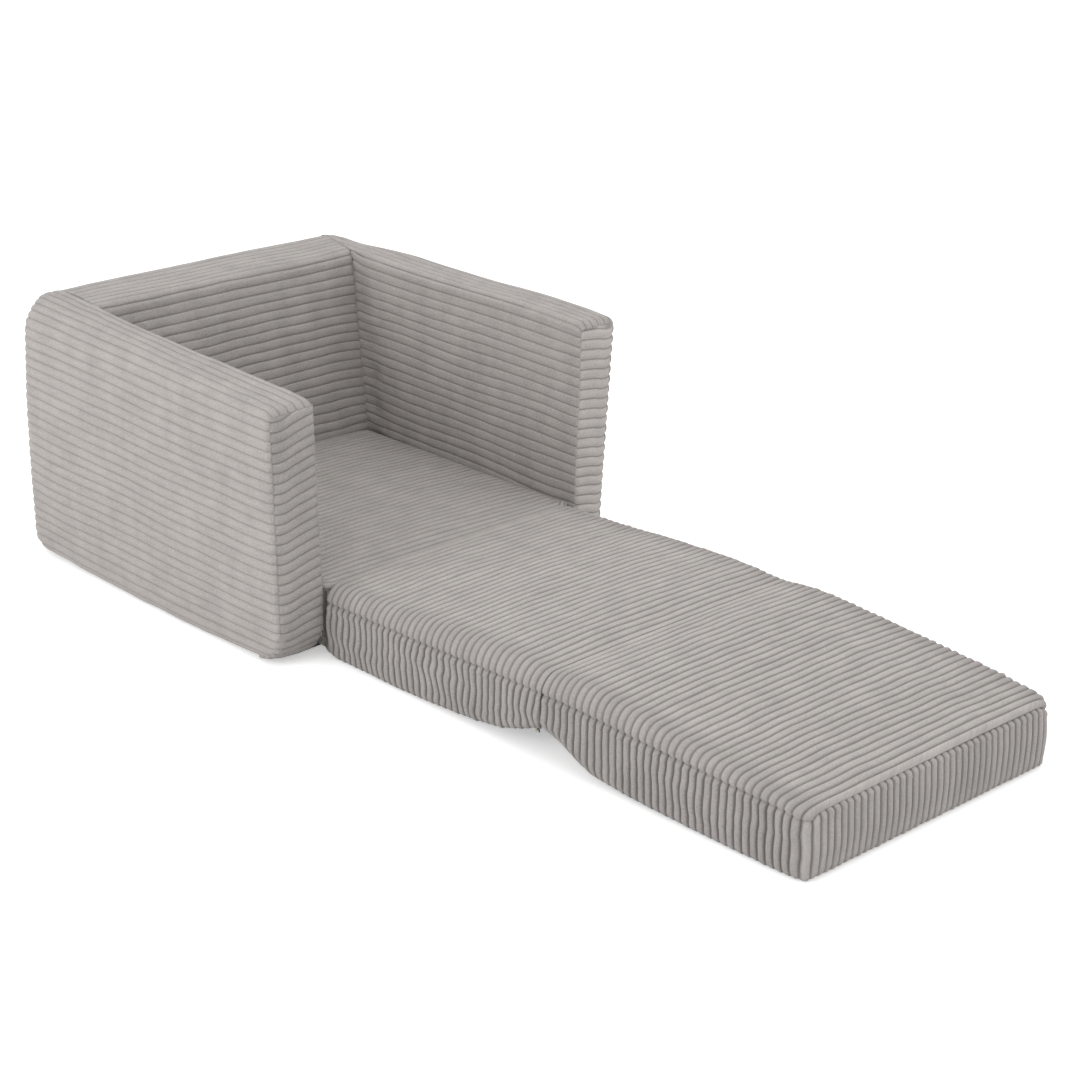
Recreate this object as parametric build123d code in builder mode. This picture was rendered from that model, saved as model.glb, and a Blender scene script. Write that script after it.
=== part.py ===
# Kids flip open sofa: a foam seat shell and a mattress of two pads that folds onto the seat.
# The mattress is laid open here. X runs across the sofa, -Y towards the mattress's free
# end and +Z up. The origin is on the floor, under the middle of the whole length.

import os
from math import hypot

from build123d import *

os.makedirs("parts", exist_ok=True)

# Shell: the back and two arms, in millimetres
shell_width = 551
shell_depth = 572
back_height = 357
arm_fall = 29
arm_thickness = 64
back_thickness_at_top = 113
back_thickness_at_seat = 140
rear_corner_radius = 50
front_top_radius = 18
front_bottom_radius = 33
side_edge_radius = 14
inner_edge_radius = 10

# Cloth and the room it leaves
cover_thickness = 3
foam_clearance = 0.3
wale_pitch = 11

# Seat between the arms
seat_height = 95
seat_crown = 2
fold_edge_radius = 10

# Mattress pads
pad_side_clearance = 7.5
pad_length = 385
pad_thickness = 77
pad_crown = 3
pad_side_bulge = 3
pad_end_radius = 12
pad_loop_radius = 8
fold_gap = 2
pad_gap = 0.6
ridge_rise = 9
middle_rest_run = 140
middle_notch_height = 18
end_notch_height = 36
notch_run = 88
notch_radius = 20

# Fold axes and fold cloth
seat_axis_height = 97
fold_cloth_thickness = 1.2
fold_cloth_margin = 6

# Zips
zip_end_margin = 34
zip_tape_width = 24
zip_tape_thickness = 0.8
zip_tape_depth = 1
zip_slit = 1.4
zip_coil_width = 2.4
zip_coil_height = 1.4
zip_stop_length = 3
slider_length = 9
slider_plate = 0.6
slider_clearance = 0.3
slider_web = 0.8
slider_flange = 0.6
slider_recess = 0.1
shell_zip_from_back = 110
pad_zip_height = 60

# How far cutting shapes run past what they cut
overrun = 20

# Places that follow from the sizes
arm_front_height = back_height - arm_fall
seat_half_width = shell_width / 2 - arm_thickness
pad_width = 2 * (seat_half_width - pad_side_clearance)
zip_length = pad_width - 2 * zip_end_margin
overall_length = shell_depth + fold_gap + pad_gap + 2 * pad_length
back_y = overall_length / 2
front_y = back_y - shell_depth
middle_rear_y = front_y - fold_gap
middle_front_y = middle_rear_y - pad_length
end_rear_y = middle_front_y - pad_gap
end_front_y = end_rear_y - pad_length
seat_axis_y = front_y - fold_gap / 2
pad_axis_y = middle_front_y - pad_gap / 2
middle_rest_y = middle_rear_y - middle_rest_run
ridge_height = seat_height + ridge_rise
pad_axis_height = cover_thickness
foam_inset = cover_thickness + foam_clearance


def back_inner_y(z):
    """The raked inner face of the back, at height z."""
    rake = (back_thickness_at_seat - back_thickness_at_top) / (back_height - seat_height)
    return back_y - back_thickness_at_seat + rake * (z - seat_height)


def shell_block(inset):
    """The back and both arms as one solid, with every face drawn in by inset."""
    half_width = shell_width / 2 - inset
    cavity_half_width = seat_half_width + inset
    with BuildPart() as block:
        with BuildSketch(Plane.YZ.offset(-half_width)):
            with BuildLine():
                FilletPolyline(
                    (front_y, 0),
                    (back_y, 0),
                    (back_y, back_height),
                    (front_y, arm_front_height),
                    radius=[front_bottom_radius, rear_corner_radius, rear_corner_radius, front_top_radius],
                    close=True,
                )
            make_face()
            if inset > 0:
                offset(amount=-inset)
        extrude(amount=2 * half_width)
        fillet(block.faces().filter_by(Axis.X).edges(), radius=side_edge_radius - inset)
        with BuildSketch(Plane.YZ.offset(-cavity_half_width)):
            with BuildLine():
                Polyline(
                    (front_y - overrun, -overrun),
                    (back_inner_y(-overrun) + inset, -overrun),
                    (back_inner_y(back_height + overrun) + inset, back_height + overrun),
                    (front_y - overrun, back_height + overrun),
                    close=True,
                )
            make_face()
        extrude(amount=2 * cavity_half_width, mode=Mode.SUBTRACT)
        inner_walls = block.faces().filter_by(Axis.X)
        fillet(inner_walls.edges().filter_by(Axis.Z, reverse=True).group_by(Axis.Z)[-1],
               radius=inner_edge_radius - inset)
    return block.part


def pad_block(outline, radii, inset):
    """A boxed pad: its side outline across the width, its long sides bulged a little."""
    half_width = pad_width / 2 - inset
    with BuildPart() as block:
        with BuildSketch(Plane.YZ.offset(-half_width)):
            with BuildLine():
                FilletPolyline(*outline, radius=radii, close=True)
            make_face()
            if inset > 0:
                offset(amount=-inset)
        extrude(amount=2 * half_width)
        ends = [min(y for y, z in outline), max(y for y, z in outline)]
        middle_y = sum(ends) / 2
        corner_x = half_width - pad_side_bulge
        with BuildSketch(Plane.XY):
            with BuildLine():
                ThreePointArc((corner_x, ends[0]), (half_width, middle_y), (corner_x, ends[1]))
                Line((corner_x, ends[1]), (-corner_x, ends[1]))
                ThreePointArc((-corner_x, ends[1]), (-half_width, middle_y), (-corner_x, ends[0]))
                Line((-corner_x, ends[0]), (corner_x, ends[0]))
            make_face()
        extrude(amount=ridge_height + overrun, mode=Mode.INTERSECT)
        long_sides = block.faces().group_by(Axis.X)
        fillet(long_sides[0].edges() + long_sides[-1].edges(), radius=pad_loop_radius - inset)
    return block.part


def seat_block(inset):
    """The seat cushion between the arms."""
    half_width = seat_half_width - foam_clearance - inset
    middle_y = (front_y + back_inner_y(seat_height)) / 2
    with BuildPart() as block:
        with BuildSketch(Plane.YZ.offset(-half_width)):
            with BuildLine():
                FilletPolyline(
                    (front_y, 0),
                    (back_inner_y(0) - foam_clearance, 0),
                    (back_inner_y(seat_height) - foam_clearance, seat_height),
                    (middle_y, seat_height + seat_crown),
                    (front_y, seat_height),
                    radius=[fold_edge_radius, 0, 0, shell_depth, fold_edge_radius],
                    close=True,
                )
            make_face()
            if inset > 0:
                offset(amount=-inset, kind=Kind.INTERSECTION)
        extrude(amount=2 * half_width)
    return block.part


def zone(plane, points, depth):
    """A prism over an outline, for keeping or cutting away a region."""
    with BuildPart() as prism:
        with BuildSketch(plane):
            with BuildLine():
                Polyline(*points, close=True)
            make_face()
        extrude(amount=depth)
    return prism.part


def box_between(low, high):
    """A box from its lowest corner to its highest."""
    size = [b - a for a, b in zip(low, high)]
    with BuildPart() as made:
        with Locations(low):
            Box(*size, align=(Align.MIN, Align.MIN, Align.MIN))
    return made.part


# Zones of the shell
mitre_x = shell_width / 2 - seat_half_width
mitre_reach_x = shell_width / 2 + overrun
mitre_reach_y = back_y + overrun * back_thickness_at_top / mitre_x
back_zone = zone(
    Plane.XY.offset(-overrun),
    [
        (-mitre_reach_x, mitre_reach_y),
        (-seat_half_width, back_y - back_thickness_at_top),
        (-seat_half_width, front_y),
        (seat_half_width, front_y),
        (seat_half_width, back_y - back_thickness_at_top),
        (mitre_reach_x, mitre_reach_y),
    ],
    back_height + 2 * overrun,
)
base_half_width = shell_width / 2 - side_edge_radius
base_front_y = front_y + front_bottom_radius
base_rear_y = back_y - rear_corner_radius
seat_base_half_width = seat_half_width - foam_clearance
with BuildPart() as base_zone:
    with BuildSketch(Plane.XY.offset(-overrun)):
        with BuildLine():
            Polyline(
                (-base_half_width, base_front_y),
                (-seat_base_half_width, base_front_y),
                (-seat_base_half_width, front_y + fold_edge_radius),
                (seat_base_half_width, front_y + fold_edge_radius),
                (seat_base_half_width, base_front_y),
                (base_half_width, base_front_y),
                (base_half_width, base_rear_y),
                (-base_half_width, base_rear_y),
                close=True,
            )
        make_face()
    extrude(amount=cover_thickness + overrun)
panel_seam_inset = cover_thickness + inner_edge_radius / 2


def front_panel_zone(side):
    """The front face of one arm, inside its sewn edges; side is -1 or 1."""
    reach = sorted([side * (seat_half_width + panel_seam_inset), side * (shell_width / 2 - panel_seam_inset)])
    return box_between(
        (reach[0], front_y - overrun, -overrun),
        (reach[1], base_front_y, arm_front_height - wale_pitch),
    )


# Zip geometry, measured in from the face that a zip lies in
coil_reach = zip_tape_depth + zip_tape_thickness + zip_coil_height
slider_reach = coil_reach + slider_clearance + slider_plate
slider_half_width = zip_slit / 2 + zip_coil_width + slider_clearance + slider_flange
groove_depth = slider_reach + slider_clearance
groove_half_width = slider_half_width + slider_clearance
slider_rest_x = zip_length / 2 - zip_stop_length - slider_clearance - slider_length / 2

shell_zip_plane = Plane(origin=(0, back_y - shell_zip_from_back, 0), x_dir=(1, 0, 0), z_dir=(0, 0, -1))
middle_zip_plane = Plane(origin=(0, middle_front_y, pad_zip_height), x_dir=(1, 0, 0), z_dir=(0, -1, 0))
end_zip_plane = Plane(origin=(0, end_rear_y, pad_zip_height), x_dir=(1, 0, 0), z_dir=(0, 1, 0))


def zip_slot(plane):
    """The opening in the cloth that a zip is sewn into."""
    with BuildPart() as slot:
        with BuildSketch(plane.offset(overrun)):
            Rectangle(zip_length, zip_tape_width)
        extrude(amount=-(overrun + cover_thickness))
    return slot.part


def zip_groove(plane):
    """The room in the foam that the slider runs in."""
    with BuildPart() as groove:
        with BuildSketch(plane):
            Rectangle(zip_length, 2 * groove_half_width)
        extrude(amount=-groove_depth)
    return groove.part


def zip_chain(plane):
    """Two tapes with a coil along each inner edge, joined by a stop at each end."""
    tape_span = (zip_tape_width - zip_slit) / 2
    tape_middle = (zip_tape_width + zip_slit) / 4
    coil_middle = (zip_slit + zip_coil_width) / 2
    stop_middle = (zip_length - zip_stop_length) / 2
    with BuildPart() as chain:
        with BuildSketch(plane.offset(-zip_tape_depth)):
            with Locations((0, tape_middle), (0, -tape_middle)):
                Rectangle(zip_length, tape_span)
        extrude(amount=-zip_tape_thickness)
        with BuildSketch(plane.offset(-(zip_tape_depth + zip_tape_thickness))):
            with Locations((0, coil_middle), (0, -coil_middle)):
                Rectangle(zip_length, zip_coil_width)
        extrude(amount=-zip_coil_height)
        coil_edges = chain.edges().filter_by(Axis.X).filter_by(
            lambda edge: abs(plane.to_local_coords(edge.center()).Z + coil_reach) < slider_recess)
        fillet(coil_edges, radius=zip_coil_width / 4)
        with BuildSketch(plane.offset(-zip_tape_depth)):
            with Locations((stop_middle, 0), (-stop_middle, 0)):
                Rectangle(zip_stop_length, zip_slit + 2 * zip_coil_width)
        extrude(amount=-(zip_tape_thickness + zip_coil_height))
    return chain.part


def zip_slider(plane):
    """A slider without a pull: two plates, the web between the coils and two flanges."""
    outer_face = slider_recess
    outer_plate = zip_tape_depth - slider_recess - outer_face
    flange_height = slider_reach - zip_tape_depth - zip_tape_thickness - slider_clearance
    flange_middle = slider_half_width - slider_flange / 2
    section = Plane(
        origin=plane.origin + plane.x_dir * (slider_rest_x - slider_length / 2),
        x_dir=plane.y_dir,
        z_dir=plane.x_dir,
    )
    inward = -1 if section.y_dir.dot(plane.z_dir) > 0 else 1
    web_height = slider_reach - outer_face
    with BuildPart() as slider:
        with BuildSketch(section):
            with Locations((0, inward * (outer_face + outer_plate / 2))):
                Rectangle(2 * slider_half_width, outer_plate)
            with Locations((0, inward * (slider_reach - slider_plate / 2))):
                Rectangle(2 * slider_half_width, slider_plate)
            with Locations((0, inward * (outer_face + web_height / 2))):
                Rectangle(slider_web, web_height)
            with Locations(
                (flange_middle, inward * (slider_reach - flange_height / 2)),
                (-flange_middle, inward * (slider_reach - flange_height / 2)),
            ):
                Rectangle(slider_flange, flange_height)
        extrude(amount=slider_length)
        shoulders = slider.edges().filter_by(
            lambda edge: abs(abs(edge.tangent_at(0).dot(plane.z_dir)) - 1) < slider_recess
            and abs(abs(plane.to_local_coords(edge.center()).Y) - slider_half_width) < slider_recess)
        chamfer(shoulders, length=slider_half_width / 4)
    return slider.part


# Shell foam
shell_core = shell_block(foam_inset)

with BuildPart() as back_foam:
    add(shell_core)
    add(back_zone, mode=Mode.INTERSECT)
    add(zip_groove(shell_zip_plane), mode=Mode.SUBTRACT)
back_foam.part.label = "back_foam"
export_step(back_foam.part, "parts/back_foam.step")

with BuildPart() as left_arm_foam:
    add(shell_core)
    add(back_zone, mode=Mode.SUBTRACT)
    split(bisect_by=Plane.YZ, keep=Keep.BOTTOM)
left_arm_foam.part.label = "left_arm_foam"
export_step(left_arm_foam.part, "parts/left_arm_foam.step")

with BuildPart() as right_arm_foam:
    add(shell_core)
    add(back_zone, mode=Mode.SUBTRACT)
    split(bisect_by=Plane.YZ, keep=Keep.TOP)
right_arm_foam.part.label = "right_arm_foam"
export_step(right_arm_foam.part, "parts/right_arm_foam.step")

with BuildPart() as seat_foam:
    add(seat_block(foam_inset))
seat_foam.part.label = "seat_foam"
export_step(seat_foam.part, "parts/seat_foam.step")

# Shell covers
with BuildPart() as shell_skin:
    add(shell_block(0))
    add(shell_block(cover_thickness), mode=Mode.SUBTRACT)
    add(base_zone.part, mode=Mode.SUBTRACT)

with BuildPart() as back_cover:
    add(shell_skin.part)
    add(back_zone, mode=Mode.INTERSECT)
back_cover.part.label = "back_cover"
export_step(back_cover.part, "parts/back_cover.step")

with BuildPart() as left_arm_cover:
    add(shell_skin.part)
    add(back_zone, mode=Mode.SUBTRACT)
    add(front_panel_zone(-1), mode=Mode.SUBTRACT)
    split(bisect_by=Plane.YZ, keep=Keep.BOTTOM)
left_arm_cover.part.label = "left_arm_cover"
export_step(left_arm_cover.part, "parts/left_arm_cover.step")

with BuildPart() as right_arm_cover:
    add(shell_skin.part)
    add(back_zone, mode=Mode.SUBTRACT)
    add(front_panel_zone(1), mode=Mode.SUBTRACT)
    split(bisect_by=Plane.YZ, keep=Keep.TOP)
right_arm_cover.part.label = "right_arm_cover"
export_step(right_arm_cover.part, "parts/right_arm_cover.step")

with BuildPart() as left_arm_front_panel:
    add(shell_skin.part)
    add(front_panel_zone(-1), mode=Mode.INTERSECT)
left_arm_front_panel.part.label = "left_arm_front_panel"
export_step(left_arm_front_panel.part, "parts/left_arm_front_panel.step")

with BuildPart() as right_arm_front_panel:
    add(shell_skin.part)
    add(front_panel_zone(1), mode=Mode.INTERSECT)
right_arm_front_panel.part.label = "right_arm_front_panel"
export_step(right_arm_front_panel.part, "parts/right_arm_front_panel.step")

with BuildPart() as seat_skin:
    add(seat_block(0))
    add(seat_block(cover_thickness), mode=Mode.SUBTRACT)

seat_seam_z = seat_height - wale_pitch
seat_reach = seat_half_width + overrun

with BuildPart() as seat_top_cover:
    add(seat_skin.part)
    add(
        box_between((-seat_reach, front_y - overrun, seat_seam_z), (seat_reach, back_y, back_height)),
        mode=Mode.INTERSECT,
    )
seat_top_cover.part.label = "seat_top_cover"
export_step(seat_top_cover.part, "parts/seat_top_cover.step")

with BuildPart() as seat_front_band:
    add(seat_skin.part)
    add(
        box_between(
            (-seat_reach, front_y - overrun, -overrun),
            (seat_reach, front_y + fold_edge_radius, seat_seam_z),
        ),
        mode=Mode.INTERSECT,
    )
seat_front_band.part.label = "seat_front_band"
export_step(seat_front_band.part, "parts/seat_front_band.step")

with BuildPart() as shell_base_cloth:
    add(base_zone.part)
    add(
        box_between(
            (-shell_width, front_y - overrun, -2 * overrun),
            (shell_width, back_y + overrun, 0),
        ),
        mode=Mode.SUBTRACT,
    )
    add(zip_slot(shell_zip_plane), mode=Mode.SUBTRACT)
shell_base_cloth.part.label = "shell_base_cloth"
export_step(shell_base_cloth.part, "parts/shell_base_cloth.step")

with BuildPart() as shell_zip:
    add(zip_chain(shell_zip_plane))
shell_zip.part.label = "shell_zip"
export_step(shell_zip.part, "parts/shell_zip.step")

with BuildPart() as shell_zip_slider:
    add(zip_slider(shell_zip_plane))
shell_zip_slider.part.label = "shell_zip_slider"
export_step(shell_zip_slider.part, "parts/shell_zip_slider.step")

# Fold cloth over the front edge of the seat, a half round along the fold's axis
seat_fold_reach = hypot(fold_gap / 2 + fold_edge_radius, seat_axis_height - seat_height + fold_edge_radius)
seat_fold_radius = seat_fold_reach - fold_edge_radius - foam_clearance
fold_cloth_length = pad_width - 2 * pad_side_bulge - 2 * pad_loop_radius - 2 * fold_cloth_margin

with BuildPart() as seat_hinge_strip:
    with BuildSketch(Plane.YZ.offset(-fold_cloth_length / 2)):
        with Locations((seat_axis_y, seat_axis_height)):
            Circle(seat_fold_radius)
            Circle(seat_fold_radius - fold_cloth_thickness, mode=Mode.SUBTRACT)
        with Locations((seat_axis_y, seat_axis_height + seat_fold_radius)):
            Rectangle(4 * seat_fold_radius, 2 * seat_fold_radius, mode=Mode.SUBTRACT)
    extrude(amount=fold_cloth_length)
seat_hinge_strip.part.label = "seat_hinge_strip"
export_step(seat_hinge_strip.part, "parts/seat_hinge_strip.step")

# Middle pad, on the floor behind and lifted towards the ridge
middle_outline = [
    (middle_rear_y, 0),
    (middle_rest_y, 0),
    (middle_front_y, middle_notch_height),
    (middle_front_y, ridge_height),
    ((middle_rear_y + middle_front_y) / 2, (seat_height + ridge_height) / 2 + pad_crown),
    (middle_rear_y, seat_height),
]
middle_radii = [pad_end_radius, pad_length, notch_radius, fold_edge_radius, pad_length, fold_edge_radius]

with BuildPart() as middle_pad_foam:
    add(pad_block(middle_outline, middle_radii, foam_inset))
    add(zip_groove(middle_zip_plane), mode=Mode.SUBTRACT)
middle_pad_foam.part.label = "middle_pad_foam"
export_step(middle_pad_foam.part, "parts/middle_pad_foam.step")

with BuildPart() as middle_skin:
    add(pad_block(middle_outline, middle_radii, 0))
    add(pad_block(middle_outline, middle_radii, cover_thickness), mode=Mode.SUBTRACT)

pad_zone_half_width = pad_width / 2 + overrun
middle_seam_drop = 2 * wale_pitch
middle_top_zone = zone(
    Plane.YZ.offset(-pad_zone_half_width),
    [
        (middle_rear_y + overrun, seat_height - middle_seam_drop),
        (middle_front_y - overrun, ridge_height - middle_seam_drop),
        (middle_front_y - overrun, ridge_height + overrun),
        (middle_rear_y + overrun, ridge_height + overrun),
    ],
    2 * pad_zone_half_width,
)
pad_base_half_width = pad_width / 2 - pad_side_bulge - pad_loop_radius
middle_slope = middle_notch_height / (middle_rest_y - middle_front_y)
middle_base_front_y = middle_front_y + notch_radius
middle_base_front_z = middle_notch_height - middle_slope * notch_radius
middle_base_zone = zone(
    Plane.YZ.offset(-pad_base_half_width),
    [
        (middle_rear_y - pad_end_radius, -overrun),
        (middle_base_front_y, -overrun),
        (middle_base_front_y, middle_base_front_z + 2 * cover_thickness),
        (middle_rest_y, 2 * cover_thickness),
        (middle_rear_y - pad_end_radius, 2 * cover_thickness),
    ],
    2 * pad_base_half_width,
)

with BuildPart() as middle_pad_top_cover:
    add(middle_skin.part)
    add(middle_top_zone, mode=Mode.INTERSECT)
middle_pad_top_cover.part.label = "middle_pad_top_cover"
export_step(middle_pad_top_cover.part, "parts/middle_pad_top_cover.step")

with BuildPart() as middle_pad_boxing:
    add(middle_skin.part)
    add(middle_top_zone, mode=Mode.SUBTRACT)
    add(middle_base_zone, mode=Mode.SUBTRACT)
    add(zip_slot(middle_zip_plane), mode=Mode.SUBTRACT)
middle_pad_boxing.part.label = "middle_pad_boxing"
export_step(middle_pad_boxing.part, "parts/middle_pad_boxing.step")

with BuildPart() as middle_pad_base_cloth:
    add(middle_skin.part)
    add(middle_base_zone, mode=Mode.INTERSECT)
middle_pad_base_cloth.part.label = "middle_pad_base_cloth"
export_step(middle_pad_base_cloth.part, "parts/middle_pad_base_cloth.step")

with BuildPart() as middle_pad_zip:
    add(zip_chain(middle_zip_plane))
middle_pad_zip.part.label = "middle_pad_zip"
export_step(middle_pad_zip.part, "parts/middle_pad_zip.step")

with BuildPart() as middle_pad_zip_slider:
    add(zip_slider(middle_zip_plane))
middle_pad_zip_slider.part.label = "middle_pad_zip_slider"
export_step(middle_pad_zip_slider.part, "parts/middle_pad_zip_slider.step")

# End pad, flat on the floor and cut away below the fold
end_outline = [
    (end_rear_y, end_notch_height),
    (end_rear_y - notch_run, 0),
    (end_front_y, 0),
    (end_front_y, pad_thickness),
    ((end_rear_y + end_front_y) / 2, (ridge_height + pad_thickness) / 2 + pad_crown),
    (end_rear_y, ridge_height),
]
end_radii = [pad_end_radius, notch_run, notch_radius, fold_edge_radius, pad_length, fold_edge_radius]

with BuildPart() as end_pad_foam:
    add(pad_block(end_outline, end_radii, foam_inset))
    add(zip_groove(end_zip_plane), mode=Mode.SUBTRACT)
end_pad_foam.part.label = "end_pad_foam"
export_step(end_pad_foam.part, "parts/end_pad_foam.step")

with BuildPart() as end_skin:
    add(pad_block(end_outline, end_radii, 0))
    add(pad_block(end_outline, end_radii, cover_thickness), mode=Mode.SUBTRACT)

end_top_zone = zone(
    Plane.YZ.offset(-pad_zone_half_width),
    [
        (end_rear_y + overrun, ridge_height - wale_pitch),
        (end_front_y - overrun, pad_thickness - wale_pitch),
        (end_front_y - overrun, ridge_height + overrun),
        (end_rear_y + overrun, ridge_height + overrun),
    ],
    2 * pad_zone_half_width,
)
end_base_zone = box_between(
    (-pad_base_half_width, end_front_y + notch_radius, 0),
    (pad_base_half_width, end_rear_y - notch_run - pad_end_radius, cover_thickness),
)

with BuildPart() as end_pad_top_cover:
    add(end_skin.part)
    add(end_top_zone, mode=Mode.INTERSECT)
end_pad_top_cover.part.label = "end_pad_top_cover"
export_step(end_pad_top_cover.part, "parts/end_pad_top_cover.step")

with BuildPart() as end_pad_boxing:
    add(end_skin.part)
    add(end_top_zone, mode=Mode.SUBTRACT)
    add(end_base_zone, mode=Mode.SUBTRACT)
    add(zip_slot(end_zip_plane), mode=Mode.SUBTRACT)
end_pad_boxing.part.label = "end_pad_boxing"
export_step(end_pad_boxing.part, "parts/end_pad_boxing.step")

with BuildPart() as end_pad_base_cloth:
    add(end_skin.part)
    add(end_base_zone, mode=Mode.INTERSECT)
end_pad_base_cloth.part.label = "end_pad_base_cloth"
export_step(end_pad_base_cloth.part, "parts/end_pad_base_cloth.step")

with BuildPart() as end_pad_zip:
    add(zip_chain(end_zip_plane))
end_pad_zip.part.label = "end_pad_zip"
export_step(end_pad_zip.part, "parts/end_pad_zip.step")

with BuildPart() as end_pad_zip_slider:
    add(zip_slider(end_zip_plane))
end_pad_zip_slider.part.label = "end_pad_zip_slider"
export_step(end_pad_zip_slider.part, "parts/end_pad_zip_slider.step")

# Fold cloth under the ridge, an arch along the lower fold's axis, sewn to the middle pad
notch_arc_y = middle_front_y + notch_radius
notch_arc_z = middle_base_front_z + notch_radius * hypot(1, middle_slope)
pad_fold_reach = hypot(notch_arc_y - pad_axis_y, notch_arc_z - pad_axis_height) - notch_radius
pad_fold_radius = pad_fold_reach - foam_clearance

with BuildPart() as pad_hinge_strip:
    with BuildSketch(Plane.YZ.offset(-fold_cloth_length / 2)):
        with Locations((pad_axis_y, pad_axis_height)):
            Circle(pad_fold_radius)
            Circle(pad_fold_radius - fold_cloth_thickness, mode=Mode.SUBTRACT)
        with Locations((pad_axis_y, pad_axis_height - pad_fold_radius / 2)):
            Rectangle(4 * pad_fold_radius, 2 * pad_fold_radius, mode=Mode.SUBTRACT)
    extrude(amount=fold_cloth_length)
pad_hinge_strip.part.label = "pad_hinge_strip"
export_step(pad_hinge_strip.part, "parts/pad_hinge_strip.step")
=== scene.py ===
# %% [markdown]
# # A child's flip open sofa in wide corduroy
#
# The sofa is a foam shell (a back and two arms) round a foam seat, with a mattress of two
# pads that is folded out on the floor. Everything is covered in wide-wale corduroy. This
# file builds its looks round the CAD frame: first the camera and light, then the cloths'
# finishes, then the foam, and last the covers that are sewn over the foam.

# %% Start from the CAD frame
import math

import bmesh
import bpy
import numpy as np
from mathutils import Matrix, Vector
from mathutils.bvhtree import BVHTree
from mathutils.kdtree import KDTree


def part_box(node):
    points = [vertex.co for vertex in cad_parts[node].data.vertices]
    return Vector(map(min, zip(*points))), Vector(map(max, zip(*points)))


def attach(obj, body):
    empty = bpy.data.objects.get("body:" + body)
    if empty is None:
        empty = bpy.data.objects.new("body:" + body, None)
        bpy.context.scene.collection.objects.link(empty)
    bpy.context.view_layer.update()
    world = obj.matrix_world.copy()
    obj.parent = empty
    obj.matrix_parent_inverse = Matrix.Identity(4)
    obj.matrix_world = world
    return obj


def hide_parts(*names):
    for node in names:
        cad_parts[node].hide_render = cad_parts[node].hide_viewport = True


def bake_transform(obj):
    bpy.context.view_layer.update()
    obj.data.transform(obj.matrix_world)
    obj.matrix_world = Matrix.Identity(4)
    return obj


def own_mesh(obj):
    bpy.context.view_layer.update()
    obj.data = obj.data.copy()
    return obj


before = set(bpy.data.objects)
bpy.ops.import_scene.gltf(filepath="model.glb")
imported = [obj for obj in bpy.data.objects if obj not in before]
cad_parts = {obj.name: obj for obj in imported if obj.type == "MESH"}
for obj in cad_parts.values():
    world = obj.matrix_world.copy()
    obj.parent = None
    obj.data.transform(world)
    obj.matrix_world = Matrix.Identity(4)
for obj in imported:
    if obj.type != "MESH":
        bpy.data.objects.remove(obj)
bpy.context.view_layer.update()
MM = 0.001

# %% [markdown]
# The camera stands where the photographer stood: in front of the mattress's free end, to
# the sofa's left, a bit over a metre up. Its place and lens were fitted to the corners of
# the shell and the mattress, so no shift is needed.

# %% Camera
bpy.ops.object.select_all(action="DESELECT")
bpy.ops.object.camera_add(
    location=(-1.8669, -2.0920, 1.2122),
    rotation=(math.radians(68.858), 0, math.radians(-42.607)),
)
camera = bpy.context.object
camera.name = "camera"
camera.data.lens = 81.56
camera.data.sensor_width = 36
bpy.context.scene.camera = camera

# %% [markdown]
# The materials are built with a few small functions. Each adds one node to a tree, feeds
# it, and hands back its output.


# %% Helpers for shader nodes
def new_material(name):
    """A new material with its node tree and its shader."""
    material = bpy.data.materials.new(name)
    material.use_nodes = True
    return material, material.node_tree, material.node_tree.nodes["Principled BSDF"]


def set_values(node, values):
    """Sets some of a node's inputs by their names."""
    for label, value in values.items():
        node.inputs[label].default_value = value


def add_math(tree, operation, a, b=None, c=None):
    """A Math node fed by sockets or plain numbers."""
    node = tree.nodes.new("ShaderNodeMath")
    node.operation = operation
    for socket, value in zip(node.inputs, (a, b, c)):
        if isinstance(value, (int, float)):
            socket.default_value = value
        elif value is not None:
            tree.links.new(value, socket)
    return node.outputs[0]


def add_noise(tree, vector, scale, detail, roughness=0.5):
    """A Noise Texture on a vector."""
    node = tree.nodes.new("ShaderNodeTexNoise")
    set_values(node, {"Scale": scale, "Detail": detail, "Roughness": roughness})
    tree.links.new(vector, node.inputs["Vector"])
    return node.outputs["Fac"]


def add_stretch(tree, vector, scale):
    """The vector, stretched."""
    node = tree.nodes.new("ShaderNodeMapping")
    node.inputs["Scale"].default_value = scale
    tree.links.new(vector, node.inputs["Vector"])
    return node.outputs["Vector"]


def add_range(tree, value, low, high, to_low=0.0, to_high=1.0):
    """A smooth step from low to high."""
    node = tree.nodes.new("ShaderNodeMapRange")
    node.interpolation_type = "SMOOTHSTEP"
    set_values(node, {"From Min": low, "From Max": high, "To Min": to_low, "To Max": to_high})
    tree.links.new(value, node.inputs["Value"])
    return node.outputs["Result"]


def add_mix(tree, factor, a, b):
    """A colour mix."""
    node = tree.nodes.new("ShaderNodeMix")
    node.data_type = "RGBA"
    factor_in, a_in, b_in = (node.inputs[key] for key in ("Factor", 6, 7))
    for socket, value in ((factor_in, factor), (a_in, a), (b_in, b)):
        if isinstance(value, bpy.types.NodeSocket):
            tree.links.new(value, socket)
        else:
            socket.default_value = value
    return node.outputs[2]


def add_bump(tree, shader, height, strength, distance):
    """Feeds a height to the shader's normal through a Bump node."""
    bump = tree.nodes.new("ShaderNodeBump")
    set_values(bump, {"Strength": strength, "Distance": distance})
    tree.links.new(height, bump.inputs["Height"])
    tree.links.new(bump.outputs["Normal"], shader.inputs["Normal"])


# %% [markdown]
# The floor is a plain white sheet. To the camera it shows as paper white, while light that
# bounces off it is that of a pale floor, so the sofa still leaves its soft shadow on it.

# %% Floor
bpy.ops.mesh.primitive_plane_add(size=40, location=(0, 0, -0.0006))
floor = bpy.context.object
floor.name = "floor"

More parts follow.
